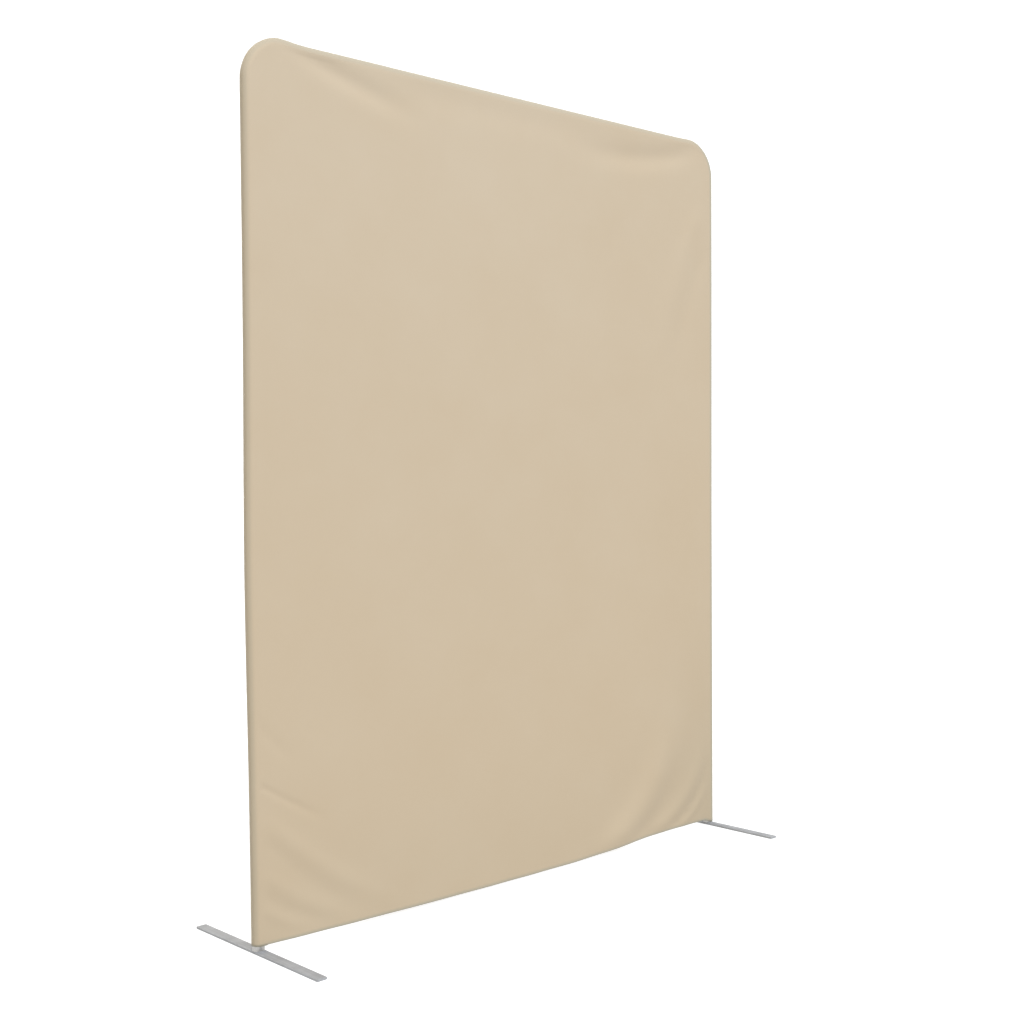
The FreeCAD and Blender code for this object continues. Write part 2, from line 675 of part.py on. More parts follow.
def zip_slider():
    """Two rimmed plates on a blade that runs in the slit, and a bail for the pull on the outer plate."""
    body = new_body("zip_slider")
    side = "slider_width / 2"
    rim = f"{side} - slider_rim"
    outer_rim = f"{LINING_R} + slider_clearance"
    inner_rim = f"{TAPE_Y} - slider_clearance"
    blade = new_sketch(body, "XY_Plane")
    front = "slider_length / 2"
    rear = f"{front} - slider_blade_length"
    draw_outline(blade, [(rear, KEEPER_IN), (front, KEEPER_IN), (front, PLATE_OUT), (rear, PLATE_OUT)])
    bridge = body.newObject("PartDesign::Pad", "zip_slider_blade")
    bridge.Profile = blade
    bridge.SideType = "Symmetric"
    bind(bridge, "Length", "slider_blade")
    for outer, inner, lip in ((PLATE_OUT, PLATE_Y, outer_rim), (KEEPER_IN, KEEPER_Y, inner_rim)):
        pad(body, "YZ_Plane", [[
            (outer, f"-({side})"), (lip, f"-({side})"), (lip, f"-({rim})"), (inner, f"-({rim})"),
            (inner, rim), (lip, rim), (lip, side), (outer, side),
        ]], "slider_length")
    reach, leg = "bail_length / 2", "bail_length / 2 - bail_bar"
    arch = f"{PLATE_OUT} + bail_opening"
    root = f"{PLATE_Y} + slider_plate / 2"
    pad(body, "XY_Plane", [[
        (f"-({reach})", root), (f"-({leg})", root), (f"-({leg})", arch), (leg, arch),
        (leg, root), (reach, root), (reach, f"{arch} + bail_bar"), (f"-({reach})", f"{arch} + bail_bar"),
    ]], "bail_bar")
    place(node(body, "zip_slider"), SLIDER_X, "0", "zip_height")


def zip_pull():
    """A flat tab whose crossbar is caught under the bail, drawn from the crossbar's axis."""
    body = new_body("zip_pull")
    back, half, tip = "pull_bar / 2", "pull_width / 2", "pull_length"
    shoulder = f"{tip} - {half}"
    end, slot = f"{back} + pull_window_length", "pull_window_width / 2"
    pad(body, "XZ_Plane", [
        [(f"-{back}", f"-{half}"), (shoulder, f"-{half}"), (tip, "0", half, 1), (shoulder, half, half, 1),
         (f"-{back}", half)],
        [(back, f"-{slot}"), (end, f"-{slot}"), (end, slot), (back, slot)],
    ], "pull_thickness")
    place(node(body, "zip_pull"), f"{SLIDER_X} + {PULL_OFFSET}", PULL_Y, "zip_height")


# Assembly


SIDES = [("left", f"-{UPRIGHT_X}", UPRIGHT_LEFT, ALONG_BOTTOM), ("right", UPRIGHT_X, UPRIGHT_RIGHT, SPIGOT_RIGHT)]
for side, axis, upright_turn, spigot_turn in SIDES:
    lower_upright(side, axis, upright_turn)
    upper_upright(side, axis, upright_turn)
    top_corner(side, axis, upright_turn)
    rail_spigot(side, axis, spigot_turn)
    foot_plug(side, axis)
    foot_plate(side, axis)
rails()
group("spigot_screws", [spigot_screw(side, axis, turn) for side, axis, _, turn in SIDES])
group("foot_screws", [foot_screw(side, axis) for side, axis, _, _ in SIDES])

# Every tube joint: its button's place on the tube's axis and the way that the tube lies
UPRIGHT_JOINT = "upright_joint_height + button_setback"
CORNER_SIDE = f"{CORNER_Z} - button_setback"
TUBE_JOINTS = [
    ("left_upright", f"-{UPRIGHT_X}", UPRIGHT_JOINT, UPRIGHT_LEFT),
    ("left_corner_side", f"-{UPRIGHT_X}", CORNER_SIDE, UPRIGHT_LEFT),
    ("left_corner_top", f"-{CORNER_X} + button_setback", TOP_Z, ALONG_TOP),
    ("top_middle", "button_setback", TOP_Z, ALONG_TOP),
    ("right_corner_top", f"{CORNER_X} - button_setback", TOP_Z, ALONG_TOP),
    ("right_corner_side", UPRIGHT_X, CORNER_SIDE, UPRIGHT_RIGHT),
    ("right_upright", UPRIGHT_X, UPRIGHT_JOINT, UPRIGHT_RIGHT),
    ("left_rail_end", f"-{RAIL_X} + button_setback", "rail_height", ALONG_BOTTOM),
    ("bottom_middle", "button_setback", "rail_height", ALONG_BOTTOM),
    ("right_rail_end", f"{RAIL_X} - button_setback", "rail_height", SPIGOT_RIGHT),
]
for joint in TUBE_JOINTS:
    snap_button(*joint)
    leaf_spring(*joint)

cover()
zip_fastener()
zip_slider()
zip_pull()

# Check everything, then write each sub-part
doc.recompute()
for item in doc.Objects:
    if {"Invalid", "Error"} & set(item.State):
        raise RuntimeError(f"{item.Label} did not compute")
for item in nodes:
    if item.Shape.isNull() or not item.Shape.isValid():
        raise RuntimeError(f"{item.Label} has no sound shape")
os.makedirs("parts", exist_ok=True)
for item in nodes:
    item.Shape.exportStep(f"parts/{item.Label}.step")
    room = item.Shape.BoundBox
    print(f"{item.Label}: {len(item.Shape.Solids)} solid, {item.Shape.Volume:.1f} mm3,",
          f"x {room.XMin:.2f} to {room.XMax:.2f}, y {room.YMin:.2f} to {room.YMax:.2f},",
          f"z {room.ZMin:.2f} to {room.ZMax:.2f}")
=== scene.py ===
# %% [markdown]
# # A fabric display wall
# The real wall is a pillowcase of stretch knit, pulled over a frame of push-together aluminium tube, zipped
# shut along the foot of its back, and standing on two flat steel feet. The CAD frame already holds every
# size and every joint. This lesson dresses it: the cloth is built again with its folds, the zip gets its
# coil and its stitches, and each metal gets the finish that its making leaves on it.

# %% Load the CAD frame
import json

import bmesh
import bpy
import numpy as np
from mathutils import Matrix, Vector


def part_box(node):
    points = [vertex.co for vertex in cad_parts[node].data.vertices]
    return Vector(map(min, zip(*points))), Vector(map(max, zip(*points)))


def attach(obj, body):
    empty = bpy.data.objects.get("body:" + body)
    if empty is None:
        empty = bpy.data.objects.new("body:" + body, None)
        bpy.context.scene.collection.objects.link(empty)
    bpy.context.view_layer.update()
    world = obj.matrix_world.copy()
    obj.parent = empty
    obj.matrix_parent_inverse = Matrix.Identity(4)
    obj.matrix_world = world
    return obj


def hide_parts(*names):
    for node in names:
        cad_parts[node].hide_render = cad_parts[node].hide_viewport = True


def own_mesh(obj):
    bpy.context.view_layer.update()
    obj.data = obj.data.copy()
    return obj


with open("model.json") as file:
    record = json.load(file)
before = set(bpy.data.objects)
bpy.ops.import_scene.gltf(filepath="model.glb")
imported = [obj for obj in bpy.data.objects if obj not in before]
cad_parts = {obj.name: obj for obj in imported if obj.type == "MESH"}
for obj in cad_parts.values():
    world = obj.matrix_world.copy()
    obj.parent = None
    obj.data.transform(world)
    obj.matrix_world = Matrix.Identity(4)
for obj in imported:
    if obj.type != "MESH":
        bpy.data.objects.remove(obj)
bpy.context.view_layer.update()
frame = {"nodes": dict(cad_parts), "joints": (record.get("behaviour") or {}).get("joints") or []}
nodes = frame["nodes"]

# %% [markdown]
# ## The photograph's viewpoint
# A photograph's lens and place can be worked back from the straight edges of what it shows, because the
# wall's width, height and feet are known. The camera could be turned with Euler angles, but its matrix is
# plainer: its columns are the directions to the right, up and back, and the place it stands.

# %% Camera
IMAGE_SIDE, FOCAL_PIXELS, SENSOR_MM = 1024, 1398.1, 36.0
yaw, pitch, roll = np.radians([43.54, -1.82, -0.44])
ahead = np.array([np.sin(yaw) * np.cos(pitch), np.cos(yaw) * np.cos(pitch), np.sin(pitch)])
level = np.array([np.cos(yaw), -np.sin(yaw), 0.0])
raised = np.cross(level, ahead)
right = np.cos(roll) * level + np.sin(roll) * raised
above = np.cos(roll) * raised - np.sin(roll) * level
stands_at = np.array([-2.823, -2.963, 1.212])

lens = bpy.data.cameras.new("studio_camera")
lens.sensor_width, lens.lens = SENSOR_MM, FOCAL_PIXELS * SENSOR_MM / IMAGE_SIDE
camera = bpy.data.objects.new("studio_camera", lens)
turn = np.vstack([np.column_stack([right, above, -ahead, stands_at]), [0, 0, 0, 1]])
camera.matrix_world = Matrix(turn.tolist())
bpy.context.scene.collection.objects.link(camera)
bpy.context.scene.camera = camera
print(f"lens {lens.lens:.2f} mm, {np.hypot(*stands_at[:2]):.2f} m from the wall's middle")

# %% [markdown]
# ## Colours and nodes
# Every colour here is written as the sRGB hex value that an eye would pick from a sample, and shaders want
# linear light, so one function turns the one into the other. One more function adds a node: a value fills a
# socket, and another node's output is linked to it.

# %% Helpers for materials
MM = 0.001
WAVE = 2 * np.pi / 20        # a Wave texture of scale s has a period of WAVE / s


def linear(hex_colour):
    """sRGB hex to linear light: each channel over 255, raised to 2.4 above the short straight start."""
    share = np.array([int(hex_colour[at:at + 2], 16) for at in (1, 3, 5)]) / 255
    light = np.where(share <= 0.04045, share / 12.92, ((share + 0.055) / 1.055) ** 2.4)
    return (*light.tolist(), 1.0)


def add(tree, kind, sockets=None, **settings):
    """Adds a node with its settings, and fills its sockets with values or with links from other nodes."""
    node = tree.nodes.new(kind)
    for name, value in settings.items():
        setattr(node, name, value)
    for socket, value in (sockets or {}).items():
        if isinstance(value, bpy.types.NodeSocket):
            tree.links.new(value, node.inputs[socket])
        else:
            node.inputs[socket].default_value = value
    return node


def start_material(name, sockets):
    """A material with these plain values on its Principled shader; returns it, its tree and the shader."""
    material = bpy.data.materials.new(name)
    material.use_nodes = True
    shader = material.node_tree.nodes["Principled BSDF"]
    for socket, value in sockets.items():
        shader.inputs[socket].default_value = value
    return material, material.node_tree, shader


print("a mid beige in linear light:", np.round(linear("#D0BFA4")[:3], 3))

# %% [markdown]
# ## Polyester knit
# The cover is a warp-knitted polyester, dyed in the print: matt, a little furry at a glancing angle, and
# made of columns of loops (wales) crossed by rows (courses). A photograph of knitted cloth could be wrapped
# on it, but a procedural knit needs no image and never runs out. Real loops are 0.8 mm wide and would
# vanish at this distance, so they are drawn three times as coarse, with painted shade in the hollows
# between them. The pattern reads the cloth's own UV map, which holds the flat cut in metres, so it follows
# the cloth round the tubes. Two attributes say where shade is painted into the colour: a grey painted
# shade round the rim, where the cloth turns round the tubes, and a painted shadow line at the hem; and a
# painted shade that darkens the cloth towards the floor and round the lower right corner.

# %% Material of the cover
WALE, COURSE = 2.4 * MM, 1.9 * MM
knit, tree, shader = start_material("polyester_knit", {
    "Roughness": 0.82, "Specular IOR Level": 0.28,
    "Sheen Weight": 0.22, "Sheen Roughness": 0.45, "Sheen Tint": linear("#F4EEE2")})
cut = add(tree, "ShaderNodeUVMap", uv_map="flat_cut").outputs[0]
uneven = {"Vector": cut, "Distortion": 0.6, "Detail": 1.0}
wales = add(tree, "ShaderNodeTexWave", {**uneven, "Scale": WAVE / WALE},
            bands_direction="X").outputs["Fac"]
courses = add(tree, "ShaderNodeTexWave", {**uneven, "Scale": WAVE / COURSE},
              bands_direction="Y").outputs["Fac"]
loops = add(tree, "ShaderNodeMath", {0: wales, 1: courses}, operation="MULTIPLY").outputs[0]
PATCH = 0.30                 # the dye takes unevenly in patches about this wide
mottle = add(tree, "ShaderNodeTexNoise", {"Vector": cut, "Scale": 1 / PATCH, "Detail": 4.0,
                                          "Roughness": 0.6}).outputs["Fac"]
lean_to = add(tree, "ShaderNodeMapRange", {"Value": mottle, "From Min": 0.3, "From Max": 0.7}).outputs[0]
dye = add(tree, "ShaderNodeMix", {0: lean_to, 6: linear("#CFBA9B"), 7: linear("#D1BD9F")},
          data_type="RGBA").outputs[2]
# Painted shade: the hollows between the loops are drawn up to a tenth darker.
hollow_shade = add(tree, "ShaderNodeMapRange", {"Value": loops, "To Min": 0.10, "To Max": 0.0}).outputs[0]
knitted = add(tree, "ShaderNodeMix", {0: hollow_shade, 6: dye, 7: linear("#9A8A70")}, data_type="RGBA").outputs[2]
# Painted shade: the knit is darkened towards the floor and round the lower right corner.
floor_shade_mask = add(tree, "ShaderNodeAttribute", attribute_name="painted_floor_shade").outputs["Fac"]
knit_with_floor_shade = add(tree, "ShaderNodeMix", {0: floor_shade_mask, 6: knitted, 7: linear("#9E967F")},
            data_type="RGBA").outputs[2]
# Painted shade: grey round the rim, where the cloth turns round the tubes, and a grey shadow line at the
# hem.
edge_shade_mask = add(tree, "ShaderNodeAttribute", attribute_name="painted_edge_shade").outputs["Fac"]
knit_with_painted_shade = add(tree, "ShaderNodeMix", {0: edge_shade_mask, 6: knit_with_floor_shade, 7: linear("#ADAB98")},
             data_type="RGBA").outputs[2]
tree.links.new(knit_with_painted_shade, shader.inputs["Base Color"])
bump = add(tree, "ShaderNodeBump", {"Height": loops, "Strength": 0.25, "Distance": 0.25 * MM}).outputs[0]
tree.links.new(bump, shader.inputs["Normal"])
print("knit drawn at", WALE / MM, "by", COURSE / MM, "mm")

# %% [markdown]
# ## Sizes that the cloth follows
# The cover is cut to the frame, so its sizes are read from the frame's nodes: the tubes' axes, the round
# that the cloth makes over them, and the height of the bottom rail that keeps the wall in shape.

# %% Sizes from the frame


def box_of(node):
    """A node's lowest and highest corner as arrays."""
    return [np.array(corner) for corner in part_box(node)]


_, panel_high = box_of("cover_front_panel")
post_low, post_high = box_of("right_lower_upright")
rail_low, rail_high = box_of("bottom_rail_left")
UPRIGHT_X = (post_low[0] + post_high[0]) / 2
TUBE_R = (post_high[1] - post_low[1]) / 2
COVER_R = panel_high[0] - UPRIGHT_X
TOP_Z = panel_high[2] - COVER_R
RAIL_Z = (rail_low[2] + rail_high[2]) / 2
BEND = 96 * MM                              # the top corners' bend, on the tube's centreline
CLOTH = 0.6 * MM
QUARTER = np.pi / 2 * COVER_R               # cloth from the face of the tube round to the seam
ZIP_X, MOUTH_X = 0.850, 0.880               # where the zip ends, and where the bottom opens for the post
FLAP_Z, BACK_Z = 39.5 * MM, 50.5 * MM       # the two edges of the zip's window
print(f"tube {2 * TUBE_R / MM:.1f} mm, cover {2 * COVER_R / MM:.1f} mm thick, top tube at {TOP_Z:.4f} m")

# %% [markdown]
# ## From a flat cut to a cover
# A pillowcase panel is flat until it meets the tube and then goes a quarter of the way round it to the
# seam. It could be modelled as a box with bevelled rims, but then the folds would have to be sculpted on.
# Here every point of the flat cut is a pair of numbers, x and z, and two short formulas carry it: one draws
# the square grid's top corners in to the bend, the other rolls what lies beyond the tube's centreline round
# the tube.

# %% Formulas of the cover


def smooth(share):
    """An S from 0 to 1: three squares less two cubes, level at both ends."""
    held = np.clip(share, 0, 1)
    return held * held * (3 - 2 * held)


def bell(offset, width):
    """A bell from 1 down to 0 on both sides: e to the power of less the square of the offset over the
    width."""
    return np.exp(-(offset / width) ** 2)


def round_corners(x, z):
    """Draws a square grid into the cut's round top corners: the square's two sides, a and b, go to a disc
    as a * sqrt(1 - b^2 / 2) and b * sqrt(1 - a^2 / 2)."""
    start_x, start_z, size = UPRIGHT_X - BEND, TOP_Z - BEND, BEND + QUARTER
    a, b = np.maximum(np.abs(x) - start_x, 0) / size, np.maximum(z - start_z, 0) / size
    drawn_x = np.where(a > 0, np.sign(x) * (start_x + size * a * np.sqrt(1 - b * b / 2)), x)
    drawn_z = np.where(b > 0, start_z + size * b * np.sqrt(1 - a * a / 2), z)
    return drawn_x, drawn_z


def frame_reach(x, z):
    """How far a point lies from the bend's centre, sideways and upwards, and the direction outwards."""
    out_x, out_z = np.maximum(np.abs(x) - (UPRIGHT_X - BEND), 0), np.maximum(z - (TOP_Z - BEND), 0)
    reach = np.hypot(out_x, out_z)
    return reach, np.sign(x) * out_x / np.maximum(reach, 1e-9), out_z / np.maximum(reach, 1e-9)


def round_the_tube(x, z):
    """Rolls the flat cut round the frame: what lies past the centreline becomes an angle on the cover's
    round, whose sine goes outwards and whose cosine is the distance left in front of the seam."""
    reach, way_x, way_z = frame_reach(x, z)
    past = np.maximum(reach - BEND, 0)
    angle = past / COVER_R
    shift = COVER_R * np.sin(angle) - past
    place = np.stack([x + way_x * shift, -COVER_R * np.cos(angle), z + way_z * shift], -1)
    outward = np.stack([way_x * np.sin(angle), -np.cos(angle), way_z * np.sin(angle)], -1)
    return place, outward


def hem(x):
    """Height of the hem: lowest right of the middle, rising slowly to the left corner and in an S to the
    right, and drooping in an S of 10 mm at the right mouth."""
    lowest_x, lowest, rise = 0.195, 3.0 * MM, 16.5 * MM
    left_run, right_run = 1.11, 0.50
    droop_from, droop_run, droop = 0.855, 0.045, 10 * MM
    to_left = np.clip((lowest_x - x) / left_run, 0, 1) ** 2
    to_right = smooth((x - lowest_x) / right_run)
    edge = lowest + rise * np.where(x < lowest_x, to_left, to_right)
    return edge - droop * smooth((x - droop_from) / droop_run)


print("seam to seam the cut is", round(2 * (UPRIGHT_X + QUARTER), 4), "m wide")

# %% [markdown]
# ## Folds
# Tight cloth folds along its lines of pull: out of the top corners, where it is stretched over the bends,
# and in arcs round the lower corners, where the hem hangs slack between the posts. Cloth simulation would
# invent folds of its own, and the photograph shows where these lie, so each is a line of three points with
# a bell-shaped section that widens and fades along it. Ridges have a positive height and valleys a negative
# one.

# %% Folds of the front
# Start, middle and end from the wall's middle and the floor, half width at both ends, height, and the
# share of the way over which the fold comes in.
FRONT_FOLDS = [
    ((-0.840, 2.282), (-0.640, 2.233), (-0.290, 2.144), 0.021, 0.038, -6.6 * MM, 0.40),
    ((-0.520, 2.232), (0.100, 2.222), (0.700, 2.226), 0.040, 0.040, -2.0 * MM, 0.17),
    ((0.890, 2.268), (0.700, 2.215), (0.150, 2.190), 0.029, 0.042, -6.5 * MM, 0.30),
    ((0.860, 2.090), (0.740, 1.850), (0.620, 1.500), 0.030, 0.060, 3.2 * MM, 0.17),
    ((0.890, 1.960), (0.800, 1.780), (0.690, 1.420), 0.026, 0.050, -2.2 * MM, 0.17),
    ((0.310, -0.008), (0.577, 0.166), (0.712, 0.500), 0.038, 0.080, 12.5 * MM, 0.22),
    ((0.460, 0.020), (0.680, 0.145), (0.810, 0.430), 0.030, 0.044, -1.5 * MM, 0.17),
    ((0.570, 0.022), (0.765, 0.128), (0.880, 0.360), 0.022, 0.034, 5.0 * MM, 0.17),
    ((0.660, 0.022), (0.810, 0.100), (0.895, 0.260), 0.018, 0.024, -2.0 * MM, 0.17),
    ((0.720, 0.022), (0.826, 0.086), (0.890, 0.200), 0.013, 0.018, 3.2 * MM, 0.17),
    ((-0.908, 0.590), (-0.860, 0.535), (-0.770, 0.450), 0.010, 0.018, -1.8 * MM, 0.17),
    ((-0.914, 0.434), (-0.830, 0.382), (-0.670, 0.288), 0.006, 0.013, -1.9 * MM, 0.10),
    ((-0.905, 0.352), (-0.705, 0.182), (-0.400, 0.005), 0.024, 0.028, 2.8 * MM, 0.17),
    ((-0.905, 0.304), (-0.775, 0.176), (-0.530, 0.006), 0.020, 0.026, -1.3 * MM, 0.17),
    ((-0.905, 0.214), (-0.800, 0.127), (-0.580, 0.026), 0.018, 0.024, 2.0 * MM, 0.17),
    ((-0.902, 0.158), (-0.820, 0.097), (-0.640, 0.030), 0.013, 0.018, -1.0 * MM, 0.17),
    ((-0.902, 0.118), (-0.850, 0.080), (-0.740, 0.032), 0.012, 0.015, 1.5 * MM, 0.17),
]


def fold_heights(x, z, folds):
    """Sum of the folds: a bell curve of the distance from the parabola through the three points, times an S
    that comes in over its share of the way and another that goes out over the last half."""
    height = np.zeros_like(x)
    for start, middle, end, narrow, wide, rise, come_in in folds:
        chord = np.subtract(end, start)
        length = np.hypot(*chord)
        along_x, along_z = chord / length
        to_middle = np.subtract(middle, start)
        middle_along = to_middle @ (along_x, along_z) / length
        bow = to_middle @ (-along_z, along_x) / (middle_along * (1 - middle_along))
        along = ((x - start[0]) * along_x + (z - start[1]) * along_z) / length
        across = (z - start[1]) * along_x - (x - start[0]) * along_z
        slope = bow * (1 - 2 * along) / length
        distance = (across - bow * along * (1 - along)) / np.hypot(1, slope)
        width = narrow + (wide - narrow) * np.clip(along, 0, 1)
        height += rise * bell(distance, width) * smooth(along / come_in) * smooth((1 - along) * 2)
    return height


print(len(FRONT_FOLDS), "folds on the front")

# %% [markdown]
# Three smaller things shape the cloth besides: the seam's thread draws it into puckers, the hem ripples a
# little, and the whole cover sits a few millimetres off true, as a stretched sock does. Whatever the folds
# do, the tubes inside stop the cloth from sinking, so the height is held above them last of all.

# %% Puckers, slack and tubes


def pucker(x, z):
    """Puckers that the seam's thread draws: short uneven waves along the seam, dying out in 20 mm from it.
    They lie on the welt that the seam's allowance makes from inside, a bell of the distance from the seam
    with a narrower bell, the groove of the seam itself, taken out of it."""
    reach, _, _ = frame_reach(x, z)
    from_seam = BEND + QUARTER - reach
    short, drift, swell, beat = 0.037, 0.29, 0.47, 0.19         # lengths of the waves along the seam
    run = 2 * np.pi * (x - z)
    wave = 1 + np.sin(run / short + 1.3 * np.sin(run / drift))
    uneven = 0.55 + 0.45 * np.sin(run / swell + 0.7) * np.sin(run / beat)
    welt, groove = 0.8 * MM * bell(from_seam, 5 * MM), 0.9 * MM * bell(from_seam, 1.6 * MM)
    return 0.3 * MM * wave * uneven * np.exp(-np.abs(from_seam) / (20 * MM)) + welt - groove


def slack(x, z):
    """The hem's ripple, which dies out upwards, and a broad billow of the whole panel."""
    short, drift, dies_in = 0.21, 0.77, 0.045
    broad, slant, wall_high = 1.9, 0.35, 2.2
    ripple = np.sin(2 * np.pi * x / short + 1.1 * np.sin(2 * np.pi * x / drift))
    billow = np.sin(2 * np.pi * (x + slant * z) / broad) * np.sin(np.pi * np.clip(z / wall_high, 0, 1))
    return 0.6 * MM * ripple * np.exp(-(z - hem(x)) / dies_in) + 1.2 * MM * billow


def lean(x, z):
    """How far the cover sits off true: its left side bows out by a bell of 6 mm at chest height, its right
    side leans out by an S of 4 mm towards the top, and the cloth rides up by bells of 5 and 2 mm on the top
    bends."""
    side_from, side_run, chest_z, chest_high = 0.70, 0.19, 0.95, 0.45
    lean_from, lean_run, top_from, top_run = 0.90, 1.2, 2.16, 0.10
    bend_x, bend_wide = 0.81, 0.05
    left, right = smooth((-x - side_from) / side_run), smooth((x - side_from) / side_run)
    to_left = 6 * MM * left * bell(z - chest_z, chest_high)
    to_right = 4 * MM * right * smooth((z - lean_from) / lean_run)
    ride_up = 5 * MM * bell(x + bend_x, bend_wide) + 2 * MM * bell(x - bend_x, bend_wide)
    return to_right - to_left, smooth((z - top_from) / top_run) * ride_up


def clear_of_tubes(x, z, height):
    """The cloth sinks no further than a tube lets it: at an offset d from the axis that is the cover's
    round less sqrt(tube radius^2 - d^2), and next to nothing where the cloth goes round the tube."""
    reach, _, _ = frame_reach(x, z)
    offset = np.minimum(np.maximum(BEND - reach, 0), np.abs(z - RAIL_Z))
    room = COVER_R - CLOTH - np.sqrt(np.maximum(TUBE_R ** 2 - offset ** 2, 0))
    spare = 0.1 * MM
    return np.maximum(height, spare - room)


TIGHTENS_IN = 60 * MM       # the slack goes out over this much before the tube


def cover_surface(x, z, folds, face):
    """Outer face of the cover at a place of the flat cut: the rolled cut, raised by its folds along the
    outward direction. Face is 1 in front, and -1 at the back, which is the front's mirror image in the
    seam."""
    place, outward = round_the_tube(x, z)
    bow, ride_up = lean(place[..., 0], place[..., 2])
    loose = smooth((BEND - frame_reach(x, z)[0]) / TIGHTENS_IN)
    height = fold_heights(x, z, folds) + slack(x, z) * loose
    height = clear_of_tubes(x + bow, z + ride_up, height) + pucker(x, z)
    off_true = np.stack([bow, np.zeros_like(bow), ride_up], -1)
    return (place + outward * height[..., None] + off_true) * np.array([1, face, 1])


def painted_shade_shares(x, z):
    """Shares of painted shade from 0 to 1, which darken and grey the cloth's colour. The shade towards the
    floor is a bell of the height, and another one round the right corner. The shade on the rim, where the
    cloth turns away, grows in an S of 10 mm over the tube towards the seam, sooner and more on the right,
    and the shadow line at the hem's turn is a bell of the height above the hem, whichever of the two is
    more."""
    reach, way_x, _ = frame_reach(x, z)
    corner_x = 0.92
    # painted shade, darker towards the floor and round the lower right corner
    shade_near_floor = 0.09 * bell(z, 0.30)
    corner_shade = 0.20 * bell(x - corner_x, 0.27) * bell(z, 0.55)
    # painted shade round the rim, where the cloth turns round the tube
    start = BEND - (1.5 + 6.5 * way_x) * MM
    rim = (0.43 + 0.17 * way_x) * smooth((reach - start) / (10 * MM))
    # a painted shadow line along the hem's turn
    edge = 0.90 * bell(z - hem(x), 5.5 * MM)
    return {"painted_floor_shade": shade_near_floor + corner_shade, "painted_edge_shade": np.maximum(rim, edge)}


print("the cloth's left side bows out by", round(-lean(-0.9, 0.95)[0] / MM, 1), "mm")

# %% [markdown]
# ## Putting a grid into a mesh
# All the soft pieces share one way into Blender: an array of points, row by row, four corners for each
# cell, and a UV map in metres. Cells that the pattern cutter would cut away, such as the zip's window, are
# left out by a mask.

# %% Helpers for pieces


def grid_cells(rows, columns, keep=None):
    """The four corners of every cell of a grid that is numbered row by row, less those that keep leaves
    out."""
    number = np.arange(rows * columns).reshape(rows, columns)
    cells = np.stack([number[:-1, :-1], number[:-1, 1:], number[1:, 1:], number[1:, :-1]], -1)
    return cells.reshape(-1, 4) if keep is None else cells[keep]


def ring_cells(rings, sides, copies=1):
    """Cells between neighbouring rings that close round on themselves, for so many copies one after
    another."""
    number = np.arange(rings * sides).reshape(rings, sides)
    ahead_of = np.roll(number, -1, axis=1)
    cells = np.stack([number[:-1], ahead_of[:-1], ahead_of[1:], number[1:]], -1).reshape(-1, 4)
    return (cells + np.arange(copies)[:, None, None] * rings * sides).reshape(-1, 4)


def stations(first, *runs):
    """Places along a grid: from the first on, each run goes to its end in so many equal steps."""
    places = [np.array([first])]
    for end, steps in runs:
        places.append(np.linspace(places[-1][-1], end, steps + 1)[1:])
    return np.concatenate(places)


def close_up(mesh, gap=1e-6):
    """Merges a closed shell's doubled points, such as its poles, and turns all its faces outwards."""
    shell = bmesh.new()
    shell.from_mesh(mesh)
    bmesh.ops.remove_doubles(shell, verts=shell.verts, dist=gap)
    bmesh.ops.recalc_face_normals(shell, faces=shell.faces)
    shell.to_mesh(mesh)
    shell.free()


def make_piece(name, points, cells, material, slot, uv=None, painted_shares=None):
    """A mesh from arrays at the origin, smooth, with its UV map and its shares of painted shade, riding on
    the frame. A piece without a UV map is a closed shell."""
    used, cells = np.unique(cells, return_inverse=True)
    cells = cells.reshape(-1, 4)
    mesh = bpy.data.meshes.new(name)
    mesh.from_pydata(points.reshape(-1, 3)[used].tolist(), [], cells.tolist())
    if uv is None:
        close_up(mesh)
    else:
        layer = mesh.uv_layers.new(name="flat_cut")
        layer.data.foreach_set("uv", uv.reshape(-1, 2)[used][cells.ravel()].astype(np.float32).ravel())
    for kind, share in (painted_shares or {}).items():
        layer = mesh.attributes.new(kind, "FLOAT", "POINT")
        layer.data.foreach_set("value", share.ravel()[used].astype(np.float32))
    mesh.shade_smooth()
    mesh.materials.append(material)
    piece = bpy.data.objects.new(name, mesh)
    bpy.context.scene.collection.objects.link(piece)
    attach(piece, "frame")
    print(f"{name}: {len(mesh.polygons)} faces")
    return piece


def thicken(piece, thickness):
    """Gives a sheet its thickness inwards, so that its outer face stays where the formula put it."""
    wall = piece.modifiers.new("cloth_thickness", "SOLIDIFY")
    wall.thickness, wall.offset = thickness, -1.0


print("pieces are made from arrays of points and cells")

# %% [markdown]
# ## The front panel
# On the real cover the front is one piece of cloth that goes on under the hem and up the back as far as the
# zip. The grid does the same: its first rows are the flap at the back, then come the turn, the underside,
# the second turn, and at last the face itself up to the seam on top. Cells are small at the rims, where
# folds are sharp.

# %% Under the hem
LAP = 0.4 * MM          # both panels run past the seam by this much, so that it never gapes
EDGE_X, EDGE_Z = UPRIGHT_X + QUARTER + LAP, TOP_Z + QUARTER + LAP
HEM_TURN = 4 * MM
DOWN_ROWS, TURN_ROWS, FLAT_ROWS = 3, 4, 7
SNIP_X = MOUTH_X + 0.3 * MM   # the turned hem is snipped here, and the mouth hangs on beside it
FOLDED_X = 0.60               # columns are closer from here to the sides
half_columns = stations(0.0, (FOLDED_X, 36), (ZIP_X, 42), (MOUTH_X, 5), (SNIP_X, 1), (EDGE_X, 9))
columns = np.concatenate([-half_columns[:0:-1], half_columns])
between = np.abs((columns[:-1] + columns[1:]) / 2)
foot = hem(columns) + np.where(np.abs(columns) <= MOUTH_X + 1e-9, HEM_TURN, 0.0)


